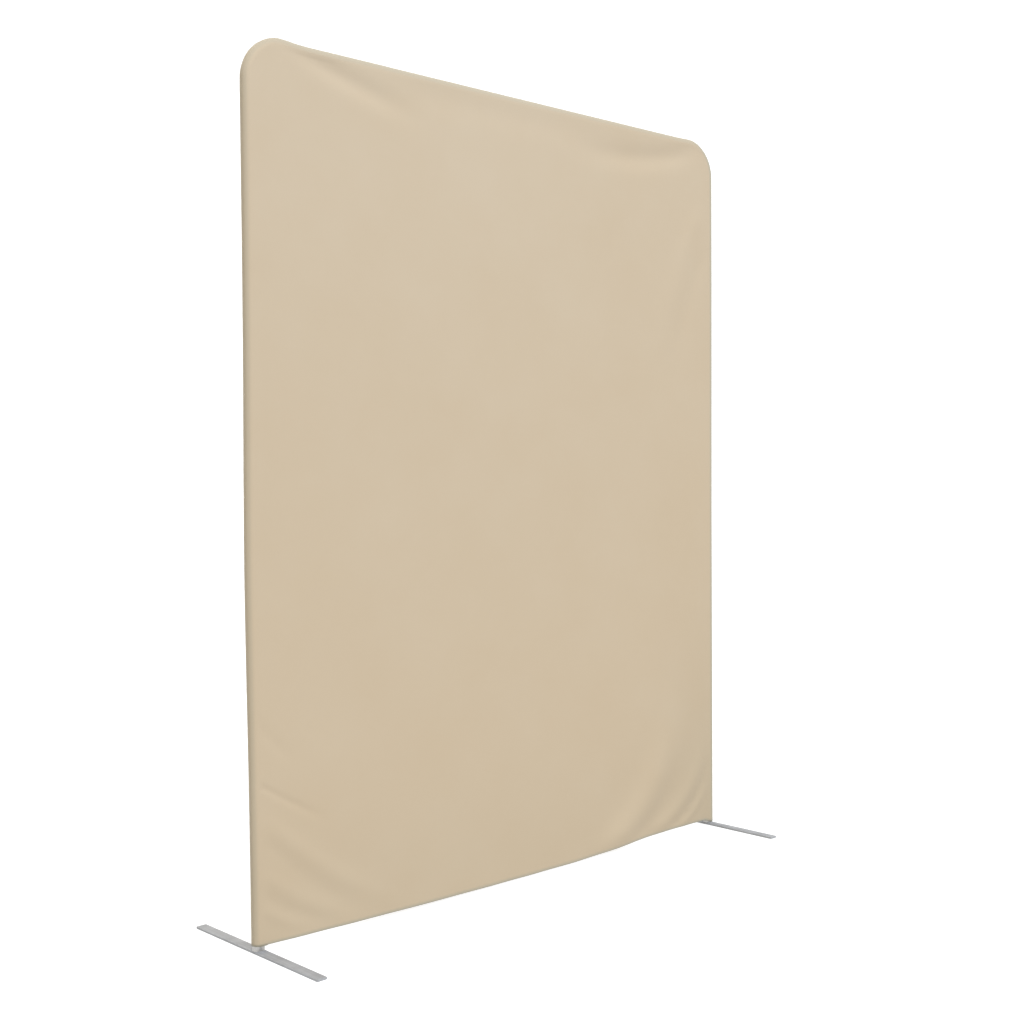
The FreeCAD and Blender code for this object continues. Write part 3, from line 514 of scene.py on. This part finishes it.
def under_the_hem(base):
    """Rows from the flap's edge at the back to the front, over hems of these heights: down the back, a
    quarter turn, the flat underside, another quarter turn. Each is a distance y from the middle and a
    height z."""
    quarter = np.linspace(0, np.pi / 2, TURN_ROWS)
    flat = COVER_R - HEM_TURN
    across = np.linspace(flat, -flat, FLAT_ROWS)[1:-1]
    y_rows = np.concatenate([np.full(DOWN_ROWS, COVER_R), flat + HEM_TURN * np.cos(quarter), across,
                             -flat - HEM_TURN * np.sin(quarter)])
    z_turns = HEM_TURN * np.concatenate([1 - np.sin(quarter), 0 * across, 1 - np.cos(quarter)])
    down = np.linspace(1, 0, DOWN_ROWS + 1)[:-1, None]
    z_rows = np.vstack([base + HEM_TURN + down * (FLAP_Z - base - HEM_TURN), base + z_turns[:, None]])
    steps = np.hypot(np.diff(y_rows), np.diff(z_rows[:, len(base) // 2]))
    run = np.concatenate([[0], np.cumsum(steps)])
    return y_rows, z_rows, run - run[-1]


# The last row is left out, because it is the face's own first one.
flap_y, flap_z, flap_run = [rows[:-1] for rows in under_the_hem(hem(columns))]
flap_x = np.broadcast_to(columns, flap_z.shape)
print(f"{-flap_run[0] / MM:.0f} mm of cloth go under the hem and up to the zip")

# %% [markdown]
# The face's rows start at the hem and end at the seam on top. The underside follows the hem's ripple in
# front and lies flat behind, so the two parts meet without a step.

# %% Front panel
LEVEL_Z = 0.12                # rows follow the hem up to here, and are level from here on
LEVEL_RUNS = ((0.46, 56), (1.84, 90), (EDGE_Z, 62))
rise = stations(0.0, (1.0, 14))[:-1, None]
level_rows = stations(LEVEL_Z, *LEVEL_RUNS)[:, None]
face_z = np.vstack([foot + rise * (LEVEL_Z - foot), np.repeat(level_rows, len(columns), 1)])
cut_x, cut_z = round_corners(np.broadcast_to(columns, face_z.shape), face_z)
face = cover_surface(cut_x, cut_z, FRONT_FOLDS, 1)
ripple = (face[0, :, 1] + COVER_R) * smooth(-flap_y[:, None] / COVER_R)
flap = np.stack([flap_x, flap_y[:, None] + ripple, flap_z], -1)
points = np.concatenate([flap, face])
cut_u, cut_v = np.concatenate([flap_x, cut_x]), np.concatenate([flap_run[:, None] + foot, cut_z])
keep = np.ones((len(points) - 1, len(columns) - 1), bool)
keep[:len(flap)] = between < MOUTH_X
keep[:DOWN_ROWS] = between < ZIP_X
cover_front = make_piece("cover_front", points, grid_cells(*points.shape[:2], keep), knit, "cover_cloth",
                         np.stack([cut_u, cut_v], -1), painted_shade_shares(cut_u, cut_v))
thicken(cover_front, CLOTH)
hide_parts("cover_front_panel")

# %% [markdown]
# ## The back panel
# The back is the same cut in the mirror, but it ends above the zip, and only its two lower corners reach
# down to the hem beside the posts. Its folds are guessed from the kind that the front has. The zip is
# stiffer than the cloth and holds the panel's lower edge straight.

# %% Back panel
BACK_FOLDS = [
    ((0.800, 2.262), (0.560, 2.236), (0.300, 2.226), 0.024, 0.050, -5.5 * MM, 0.30),
    ((0.850, 2.235), (0.560, 2.180), (0.260, 2.110), 0.026, 0.050, 3.6 * MM, 0.30),
    ((-0.800, 2.256), (-0.560, 2.232), (-0.300, 2.226), 0.026, 0.050, -5.0 * MM, 0.30),
    ((-0.860, 2.120), (-0.720, 1.930), (-0.600, 1.640), 0.028, 0.056, 3.0 * MM, 0.17),
    ((-0.850, 0.500), (-0.700, 0.290), (-0.420, 0.110), 0.034, 0.044, 7.0 * MM, 0.17),
    ((-0.880, 0.380), (-0.770, 0.220), (-0.540, 0.105), 0.026, 0.034, -3.0 * MM, 0.17),
    ((-0.895, 0.270), (-0.815, 0.160), (-0.660, 0.085), 0.018, 0.024, 3.5 * MM, 0.17),
    ((0.880, 0.420), (0.760, 0.300), (0.560, 0.170), 0.028, 0.036, 6.0 * MM, 0.17),
    ((0.885, 0.300), (0.780, 0.200), (0.600, 0.110), 0.020, 0.030, -3.0 * MM, 0.17),
    ((0.895, 0.200), (0.830, 0.130), (0.700, 0.085), 0.014, 0.020, 2.8 * MM, 0.17),
    ((-0.500, 0.170), (0.050, 0.120), (0.560, 0.160), 0.034, 0.034, -3.0 * MM, 0.17),
]


def back_surface(x, z):
    """The back's outer face: the cover's surface, drawn to one plane where the zip holds it, over 50 mm."""
    held = 50 * MM
    place = cover_surface(x, z, BACK_FOLDS, -1)
    free = np.clip(smooth((z - BACK_Z) / held) + (np.abs(x) > ZIP_X), 0, 1)
    place[..., 1] = COVER_R + (place[..., 1] - COVER_R) * free
    return place


rise = stations(0.0, (1.0, 5))[:-1, None]
level_rows = stations(BACK_Z, (LEVEL_Z, 9), *LEVEL_RUNS)[:, None]
back_z = np.vstack([foot + rise * (BACK_Z - foot), np.repeat(level_rows, len(columns), 1)])
cut_x, cut_z = round_corners(np.broadcast_to(columns, back_z.shape), back_z)
points = back_surface(cut_x, cut_z)
keep = np.ones((len(points) - 1, len(columns) - 1), bool)
keep[:len(rise)] = between > ZIP_X
cells = grid_cells(*points.shape[:2], keep)[:, ::-1]
cover_back = make_piece("cover_back", points, cells, knit, "cover_cloth", np.stack([-cut_x, cut_z], -1),
                        painted_shade_shares(cut_x, cut_z))
thicken(cover_back, CLOTH)
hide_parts("cover_back_panel")

# %% [markdown]
# ## Seams and stitches
# Two kinds of sewing show on the real cover. The long seam round the sides and top is sewn from inside, so
# it is only a groove with puckers, which the cloth's formula already has. The zip and the hems of the two
# mouths are topstitched: rows of short thread bridges that sink into the cloth at both ends. A texture
# could fake them, but a stitch is a small rounded bar, so one is worked out as rings along its length and
# repeated along the row.

# %% Sewing thread
# Spun polyester: matt, and its two plies show as slanting light and dark.
thread, tree, shader = start_material("spun_polyester_thread",
                                      {"Roughness": 0.6, "Specular IOR Level": 0.35})
spot = add(tree, "ShaderNodeTexCoord").outputs["Object"]
PLY = 0.5 * MM          # the thread's twist, drawn about twice as coarse as it is
slant = add(tree, "ShaderNodeMapping", {"Vector": spot, "Rotation": (0.0, np.radians(35), 0.0)}).outputs[0]
twist = add(tree, "ShaderNodeTexWave", {"Vector": slant, "Scale": WAVE / PLY},
            bands_direction="X").outputs["Fac"]
strand = add(tree, "ShaderNodeMix", {0: twist, 6: linear("#B9A98D"), 7: linear("#D9CBB2")},
             data_type="RGBA").outputs[2]
tree.links.new(strand, shader.inputs["Base Color"])
plies = add(tree, "ShaderNodeBump", {"Height": twist, "Strength": 0.4, "Distance": 0.1 * MM}).outputs[0]
tree.links.new(plies, shader.inputs["Normal"])

STITCH_PITCH, STITCH_LONG, STITCH_THICK = 4.2 * MM, 3.0 * MM, 0.7 * MM
STITCH_RINGS, STITCH_SIDES = 5, 6


def stitches(seats, run, outward):
    """A stitch at every seat: five rings along the run, whose radius is an ellipse's, sqrt(1 - t^2), so
    both ends close to a point. Half of each lies in the cloth, and its middle stands an eighth of its
    thickness higher."""
    share = np.linspace(-1, 1, STITCH_RINGS)[:, None]
    turn = np.linspace(0, 2 * np.pi, STITCH_SIDES, endpoint=False)
    swell = 1 - share ** 2
    radius = STITCH_THICK / 2 * np.sqrt(swell)
    sizes = (STITCH_LONG / 2 * share + 0 * turn, radius * np.cos(turn),
             radius * np.sin(turn) + STITCH_THICK / 8 * swell)
    ways = [way[:, None, None, :] for way in (run, np.cross(run, outward), outward)]
    rings = sum(size[..., None] * way for size, way in zip(sizes, ways))
    return seats[:, None, None, :] + rings, ring_cells(STITCH_RINGS, STITCH_SIDES, len(seats))


SEWN_IN = 4 * MM        # the row's distance from the cloth's edge
row_x = np.arange(-ZIP_X + 6 * MM, ZIP_X - 5 * MM, STITCH_PITCH)
below_zip = np.stack([row_x, np.full_like(row_x, COVER_R), np.full_like(row_x, FLAP_Z - SEWN_IN)], -1)
seats = np.concatenate([below_zip, back_surface(row_x, np.full_like(row_x, BACK_Z + SEWN_IN))])
along_x, out_back = np.broadcast_to([1.0, 0, 0], seats.shape), np.broadcast_to([0, 1.0, 0], seats.shape)
zip_stitches = make_piece("zip_stitches", *stitches(seats, along_x, out_back), thread, "cover_cloth")

# %% [markdown]
# The mouths round the posts have a hem of their own, a doubled edge held by one row of the same stitches.
# The rows follow the cloth's round there: each stitch lies along the arc, with its outward direction from
# the tube's axis.

# %% Mouth hems
MOUTH_HEM = 12 * MM
straight = UPRIGHT_X - MOUTH_X


def mouth_row(side):
    """Seats, runs and outward directions of the stitches round one mouth, from the front edge of the bottom
    round the post to the back: equal arcs on the cover's round, a hem's height above its edge."""
    run = np.arange(-QUARTER - straight + 2 * MM, QUARTER + straight - 1 * MM, STITCH_PITCH)
    angle = np.clip(run, -QUARTER, QUARTER) / COVER_R
    x = side * (UPRIGHT_X + COVER_R * np.cos(angle) - np.maximum(np.abs(run) - QUARTER, 0))
    z = hem(x) + MOUTH_HEM
    outward = np.stack([side * np.cos(angle), np.sin(angle), 0 * angle], -1)
    along = np.stack([-side * np.sin(angle), np.cos(angle), 0 * angle], -1)
    return np.stack([x + lean(x, z)[0], COVER_R * np.sin(angle), z], -1), along, outward


both_mouths = [np.concatenate(pair) for pair in zip(mouth_row(-1), mouth_row(1))]
mouth_stitches = make_piece("mouth_stitches", *stitches(*both_mouths), thread, "cover_cloth")

# %% [markdown]
# ## The zip's tapes
# A coil zip has two woven tapes, sewn to the cloth on both sides of the opening. A tape is a flat strip, so
# a grid is enough; its free edge waves a little, because the coil is a trifle longer than the tape. The
# herringbone weave is a slanting wave on the tape's own UV map.

# %% Zip tapes
# Woven polyester: closer and flatter than the knit, with a slight gloss on its ribs.
tape, tree, shader = start_material("woven_zip_tape", {"Roughness": 0.75, "Specular IOR Level": 0.3,
                                                       "Sheen Weight": 0.1})
cut = add(tree, "ShaderNodeUVMap", uv_map="flat_cut").outputs[0]
RIB = 1.6 * MM          # the tape's herringbone rib, drawn twice as coarse as it is
ribs = add(tree, "ShaderNodeTexWave", {"Vector": cut, "Scale": WAVE / RIB, "Distortion": 0.4},
           bands_direction="DIAGONAL").outputs["Fac"]
woven = add(tree, "ShaderNodeMix", {0: ribs, 6: linear("#C2B297"), 7: linear("#D4C5AB")},
            data_type="RGBA").outputs[2]
tree.links.new(woven, shader.inputs["Base Color"])
ribbed = add(tree, "ShaderNodeBump", {"Height": ribs, "Strength": 0.35, "Distance": 0.15 * MM}).outputs[0]
tree.links.new(ribbed, shader.inputs["Normal"])


def zip_tape(name, node, free_edge):
    """A tape in its node's place: a flat strip whose free edge waves inwards by up to two tenths of a
    millimetre."""
    low, high = box_of(node)
    columns, rows, wave = 341, 7, 93 * MM
    x, z = np.meshgrid(np.linspace(low[0], high[0], columns), np.linspace(low[2], high[2], rows))
    loose = 1 - np.abs(z - free_edge) / (high[2] - low[2])
    y = high[1] + 0.1 * MM * loose * (np.sin(2 * np.pi * x / wave) - 1)
    piece = make_piece(name, np.stack([x, y, z], -1), grid_cells(*x.shape)[:, ::-1], tape, "zip_tape",
                       np.stack([x, z], -1))
    thicken(piece, high[1] - low[1])
    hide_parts(node)


zip_tape("zip_tape_lower", "zip_lower_tape", box_of("zip_lower_tape")[0][2])
zip_tape("zip_tape_upper", "zip_upper_tape", box_of("zip_upper_tape")[1][2])

# %% [markdown]
# ## The zip's coils
# The teeth of a coil zip are the turns of a thick nylon thread. The CAD rows are plain bars. Here each coil
# is what it is, a helix: a small round section carried along a screw line. The real pitch is 1.5 mm; it is
# drawn at 2.6 mm so that the turns can still be told apart.

# %% Zip coils
# Drawn nylon, dyed to match: smoother and glossier than the cloth round it.
coil, tree, shader = start_material("nylon_coil", {"Roughness": 0.38, "Specular IOR Level": 0.5})
spot = add(tree, "ShaderNodeTexCoord").outputs["Object"]
CLOUD = 12 * MM         # the dye's unevenness along the coil
bloom = add(tree, "ShaderNodeTexNoise", {"Vector": spot, "Scale": 1 / CLOUD, "Detail": 2.0}).outputs["Fac"]
dyed = add(tree, "ShaderNodeMix", {0: bloom, 6: linear("#BBAA8D"), 7: linear("#CDBDA2")},
           data_type="RGBA").outputs[2]
tree.links.new(dyed, shader.inputs["Base Color"])
COIL_PITCH, COIL_WIRE, WIRE_SIDES, TURN_STEPS = 2.6 * MM, 0.42 * MM, 5, 10


def unit(vectors):
    """Vectors of length one."""
    return vectors / np.linalg.norm(vectors, axis=-1, keepdims=True)


def zip_coil(name, node, start):
    """A helix in its row's box: x grows with the angle, y and z are its cosine and sine, and the wire's
    round is laid across the direction in which the helix runs. Both ends close to a point."""
    low, high = box_of(node)
    turns = (high[0] - low[0] - 2 * COIL_WIRE) / COIL_PITCH
    angle = np.linspace(0, 2 * np.pi * turns, int(turns * TURN_STEPS) + 1)
    middle, half = (low + high) / 2, (high - low) / 2 - COIL_WIRE
    turning = np.stack([0 * angle, np.cos(angle + start), np.sin(angle + start)], -1)
    path = middle + turning * half
    path[:, 0] = low[0] + COIL_WIRE + COIL_PITCH * angle / (2 * np.pi)
    run = unit(np.gradient(path, axis=0))
    across = unit(np.cross(run, turning))
    out = np.cross(across, run)
    about = np.linspace(0, 2 * np.pi, WIRE_SIDES, endpoint=False)[:, None]
    size = np.full(len(angle), COIL_WIRE)
    size[[0, -1]] = 0
    rings = np.cos(about) * out[:, None] - np.sin(about) * across[:, None]
    wire = path[:, None] + size[:, None, None] * rings
    piece = make_piece(name, wire, ring_cells(len(angle), WIRE_SIDES), coil, "zip_coil")
    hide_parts(node)


zip_coil("zip_coil_lower", "zip_lower_row", 0.0)
zip_coil("zip_coil_upper", "zip_upper_row", np.pi)

# %% [markdown]
# ## Metals
# The metals differ by how they were made. Tube is drawn through a die and anodised, so its fine lines run
# along it. The slider is die-cast zinc, plated, and worn bright where fingers and cloth touch it. Screws
# are zinc plated, springs and buttons are polished by their work. The lines of drawn and turned metal could
# be an anisotropic shader, but that shows nothing in a matt light, so they are a noise stretched along the
# grain. Real scratches are some 0.05 mm wide and are drawn ten times as wide.

# %% Metals
CLOUDING = 60 * MM      # anodising and plating vary in patches about this wide


def grained_metal(name, dark, light, roughness, grain, stretch, depth, metallic=1.0):
    """A metal whose colour, roughness and bump share one noise, stretched along an axis and as fine as its
    grain."""
    metal, tree, shader = start_material(name, {"Metallic": metallic})
    spot = add(tree, "ShaderNodeTexCoord").outputs["Object"]
    drawn = add(tree, "ShaderNodeMapping", {"Vector": spot, "Scale": stretch}).outputs[0]
    lines = add(tree, "ShaderNodeTexNoise", {"Vector": drawn, "Scale": 1 / grain, "Detail": 3.0,
                                             "Roughness": 0.65}).outputs["Fac"]
    cloud = add(tree, "ShaderNodeTexNoise", {"Vector": spot, "Scale": 1 / CLOUDING,
                                             "Detail": 3.0}).outputs["Fac"]
    both = add(tree, "ShaderNodeMath", {0: lines, 1: cloud}, operation="ADD").outputs[0]
    spread = add(tree, "ShaderNodeMapRange", {"Value": both, "From Min": 0.7, "From Max": 1.3}).outputs[0]
    tone = add(tree, "ShaderNodeMix", {0: spread, 6: linear(dark), 7: linear(light)},
               data_type="RGBA").outputs[2]
    rough = add(tree, "ShaderNodeMapRange", {"Value": spread, "To Min": roughness - 0.06,
                                             "To Max": roughness + 0.08}).outputs[0]
    scratch = add(tree, "ShaderNodeBump", {"Height": lines, "Strength": 0.3, "Distance": depth}).outputs[0]
    for output, socket in ((tone, "Base Color"), (rough, "Roughness"), (scratch, "Normal")):
        tree.links.new(output, shader.inputs[socket])
    return metal


UP, ALONG, EVEN = (1.0, 1.0, 0.02), (0.02, 1.0, 1.0), (1.0, 1.0, 1.0)
ROUND, LENGTHWISE = (1.0, 0.05, 0.05), (1.0, 0.012, 1.0)
# Anodised tube is pale and silky, with lines along it; turned spigots have their lines round them.
tube_metal = grained_metal("anodised_drawn_aluminium", "#B0AEAA", "#C4C2BE", 0.50, 0.6 * MM, UP, 0.05 * MM)
rail_metal = grained_metal("anodised_drawn_rail", "#B0AEAA", "#C4C2BE", 0.50, 0.6 * MM, ALONG, 0.05 * MM)
spigot_metal = grained_metal("turned_aluminium", "#B4B5B7", "#CFD0D1", 0.30, 0.4 * MM, ROUND, 0.05 * MM)
# Zinc plating is a bluish grey, polished spring steel a warm dark one, plated zinc castings lie between.
screw_metal = grained_metal("zinc_plated_steel", "#A9ADB4", "#C9CCD0", 0.28, 0.5 * MM, EVEN, 0.03 * MM)
button_metal = grained_metal("polished_spring_steel", "#A7A7A5", "#C6C5C2", 0.20, 0.5 * MM, EVEN, 0.02 * MM)
slider_metal = grained_metal("plated_die_cast_zinc", "#9C9B98", "#C3C1BC", 0.26, 0.7 * MM, EVEN, 0.05 * MM)
print("six metals")

# %% [markdown]
# ## Lacquered feet and nylon plugs
# The feet are cold-rolled flat bar, brushed lengthwise and lacquered silver. The lacquer's flakes lie in
# all directions, so it scatters light like a paint and mirrors next to nothing, and the brushing still
# shows through it as faint lines. The plugs in the tubes' ends are moulded of light grey,
# glass-filled nylon, which has a fine grit.

# %% Lacquer and nylon
BRUSHED = 4 * MM        # lines of the brushing, drawn far coarser than they are, to show under the lacquer
foot_metal = grained_metal("silver_lacquered_steel", "#999A9B", "#B6B7B8", 0.55, BRUSHED, LENGTHWISE,
                           0.08 * MM, metallic=0.1)
nylon, tree, shader = start_material("glass_filled_nylon", {"Roughness": 0.52, "Specular IOR Level": 0.45})
spot = add(tree, "ShaderNodeTexCoord").outputs["Object"]
GRIT = 0.8 * MM         # drawn some five times as coarse as it is
grit = add(tree, "ShaderNodeTexNoise", {"Vector": spot, "Scale": 1 / GRIT, "Detail": 2.0}).outputs["Fac"]
moulded = add(tree, "ShaderNodeMix", {0: grit, 6: linear("#A0A0A0"), 7: linear("#B5B5B4")},
              data_type="RGBA").outputs[2]
tree.links.new(moulded, shader.inputs["Base Color"])
gritty = add(tree, "ShaderNodeBump", {"Height": grit, "Strength": 0.2, "Distance": 0.05 * MM}).outputs[0]
tree.links.new(gritty, shader.inputs["Normal"])

FINISHES = {"upright": tube_metal, "corner": tube_metal, "rail_left": rail_metal, "rail_right": rail_metal,
            "spigot": spigot_metal, "plug": nylon, "plate": foot_metal, "screws": screw_metal,
            "button": button_metal, "stops": slider_metal, "slider": slider_metal, "pull": slider_metal}
for ending, finish in FINISHES.items():
    for name, node in nodes.items():
        if name.endswith(ending):
            node.data.materials.clear()
            node.data.materials.append(finish)
print("finishes on", sum(name.endswith(tuple(FINISHES)) for name in nodes), "of", len(nodes), "nodes")

# %% [markdown]
# ## Leaf springs
# Inside every joint a bent leaf of spring steel presses the snap button out. In the CAD it is a V with
# sharp bends. A real leaf is bent round a mandrel, so here a flat section is carried along a path with
# round bends: three points of the V become a smooth curve. As the button is pressed the leaf closes.

# %% Springs
# Hardened and blued: darker than the tubes, with a cold cast.
leaf_steel = grained_metal("blued_spring_steel", "#6F7480", "#8E929B", 0.30, 0.4 * MM, EVEN, 0.02 * MM)
LEAF_THICK, LEAF_WIDE, LEAF_TAIL, LEAF_REACH = 0.6 * MM, 7 * MM, 7 * MM, 22 * MM
LEAF_STEPS, TAIL_SHARE = 25, 0.28       # stations along a leaf, and the share of it that each tail takes


def leaf_spring(joint):
    """A strip from the button's flange along the tube, round the V's bend and back along the far wall.
    Along the strip, the depth is an S from the flange to the wall, and the reach a half wave of sine
    between the two tails; the strip's thickness is laid across the direction in which the curve runs."""
    place = joint["name"].removesuffix("_press")
    low, high = box_of(f"{place}_spring")
    seat = sum(box_of(f"{place}_button")) / 2
    inwards = np.array(joint["axis"], float)                       # the way that the button is pressed
    tube_way = np.array([1.0, 0, 0]) if abs(inwards[2]) > 0.5 else np.array([0, 0, 1.0])
    side = np.sign(((low + high) / 2 - seat) @ tube_way)
    flange_at, wall_at = sorted((low @ inwards, high @ inwards))
    centre = seat - (seat @ inwards) * inwards
    gap = wall_at - flange_at
    share = np.linspace(0, 1, LEAF_STEPS)
    bent = smooth((share - TAIL_SHARE) / (1 - 2 * TAIL_SHARE))
    depth = flange_at + LEAF_THICK / 2 + (gap - LEAF_THICK) * bent
    reach = -LEAF_TAIL + (LEAF_TAIL + LEAF_REACH - LEAF_THICK / 2) * np.sin(np.pi * share)
    path = np.stack([depth, reach], -1)
    run = unit(np.gradient(path, axis=0))
    normal = np.stack([-run[:, 1], run[:, 0]], -1)
    corner = np.array([(1, 1), (1, -1), (-1, -1), (-1, 1)]) / 2
    section = path[:, None] + normal[:, None] * corner[None, :, :1] * LEAF_THICK
    across = np.broadcast_to(corner[:, 1:] * LEAF_WIDE * np.array([0, 1.0, 0]), (len(share), 4, 3))
    points = centre + section[..., :1] * inwards + side * section[..., 1:] * tube_way + across
    ends = np.arange(4) + np.array([[0], [4 * len(share) - 4]])
    cells = np.concatenate([ring_cells(len(share), 4), ends])
    piece = make_piece(f"{place}_leaf", points, cells, leaf_steel, "spring_steel")
    piece.data.shade_flat()
    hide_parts(f"{place}_spring")
    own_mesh(piece)


presses = [joint for joint in frame["joints"] if joint["name"].endswith("_press")]
for joint in presses:
    leaf_spring(joint)
print(len(presses), "leaf springs")

# %% [markdown]
# ## Floor
# A white paper floor runs to the horizon. It glows a little, so it stays white in a soft shadow and only
# the places right under the feet and the hem turn grey. Its bounce would fill the shade of the folds from
# below, which the photograph doesn't show, so diffuse light passes it by.

# %% Paper floor
paper, tree, shader = start_material("studio_paper", {
    "Roughness": 0.9, "Base Color": linear("#A0A0A0"), "Emission Color": linear("#FFFFFF"),
    "Emission Strength": 0.80})
HORIZON = 60.0
corners = HORIZON * np.array([(-1, -1, 0), (1, -1, 0), (1, 1, 0), (-1, 1, 0)])
floor_mesh = bpy.data.meshes.new("studio_floor")
floor_mesh.from_pydata(corners.tolist(), [], [(0, 1, 2, 3)])
floor_mesh.materials.append(paper)
floor = bpy.data.objects.new("studio_floor", floor_mesh)
bpy.context.scene.collection.objects.link(floor)
floor.visible_diffuse = False
print("a floor of", 2 * HORIZON, "m")

# %% [markdown]
# ## Light
# The photograph's light is soft and comes from high in front, a little from the left: the upper sides of
# the folds are bright, both side tubes turn away into shade, and the top of the wall is lighter and cooler
# than its foot. A broad lamp like the sun gives the first two, and a cool window near the top gives the
# last. A second broad lamp, which the photograph can't tell of, lights the back from behind. Around it all
# is a white surround.

# %% Lamps and surround
WALL_MIDDLE = np.array([0, 0, 1.1])


def aim(name, kind, towards, energy, **settings):
    """A lamp at the far end of a direction from the wall's middle, which shines back along it."""
    lamp = bpy.data.lights.new(name, kind)
    lamp.energy = energy
    for setting, value in settings.items():
        setattr(lamp, setting, value)
    back = unit(np.array(towards))
    side = unit(np.cross([0, 0, 1], back))
    axes = np.column_stack([side, np.cross(back, side), back, np.array(towards) + WALL_MIDDLE])
    holder = bpy.data.objects.new(name, lamp)
    holder.matrix_world = Matrix(np.vstack([axes, [0, 0, 0, 1]]).tolist())
    bpy.context.scene.collection.objects.link(holder)


aim("soft_key", "SUN", (-0.5, -3.2, 3.8), np.pi * 0.55, angle=np.radians(40))
aim("back_fill", "SUN", (0.3, 3.0, 3.0), np.pi * 0.38, angle=np.radians(40))
aim("cool_window", "AREA", (-0.4, -2.7, 2.2), 30.0, shape="SQUARE", size=1.6, color=linear("#A8CCFF")[:3])

world = bpy.data.worlds.new("white_surround")
bpy.context.scene.world = world
world.use_nodes = True
tree = world.node_tree
seen = add(tree, "ShaderNodeLightPath").outputs["Is Camera Ray"]
LIGHTS, SHOWS = 0.6, 1.25       # it shows as bright as the floor, so the outline is the same before both
strength = add(tree, "ShaderNodeMapRange", {"Value": seen, "To Min": LIGHTS, "To Max": SHOWS}).outputs[0]
tree.links.new(strength, tree.nodes["Background"].inputs["Strength"])
tree.nodes["Background"].inputs["Color"].default_value = linear("#FFFFFF")
bpy.context.scene.view_settings.view_transform = "Standard"
print("three soft lamps and a white surround")
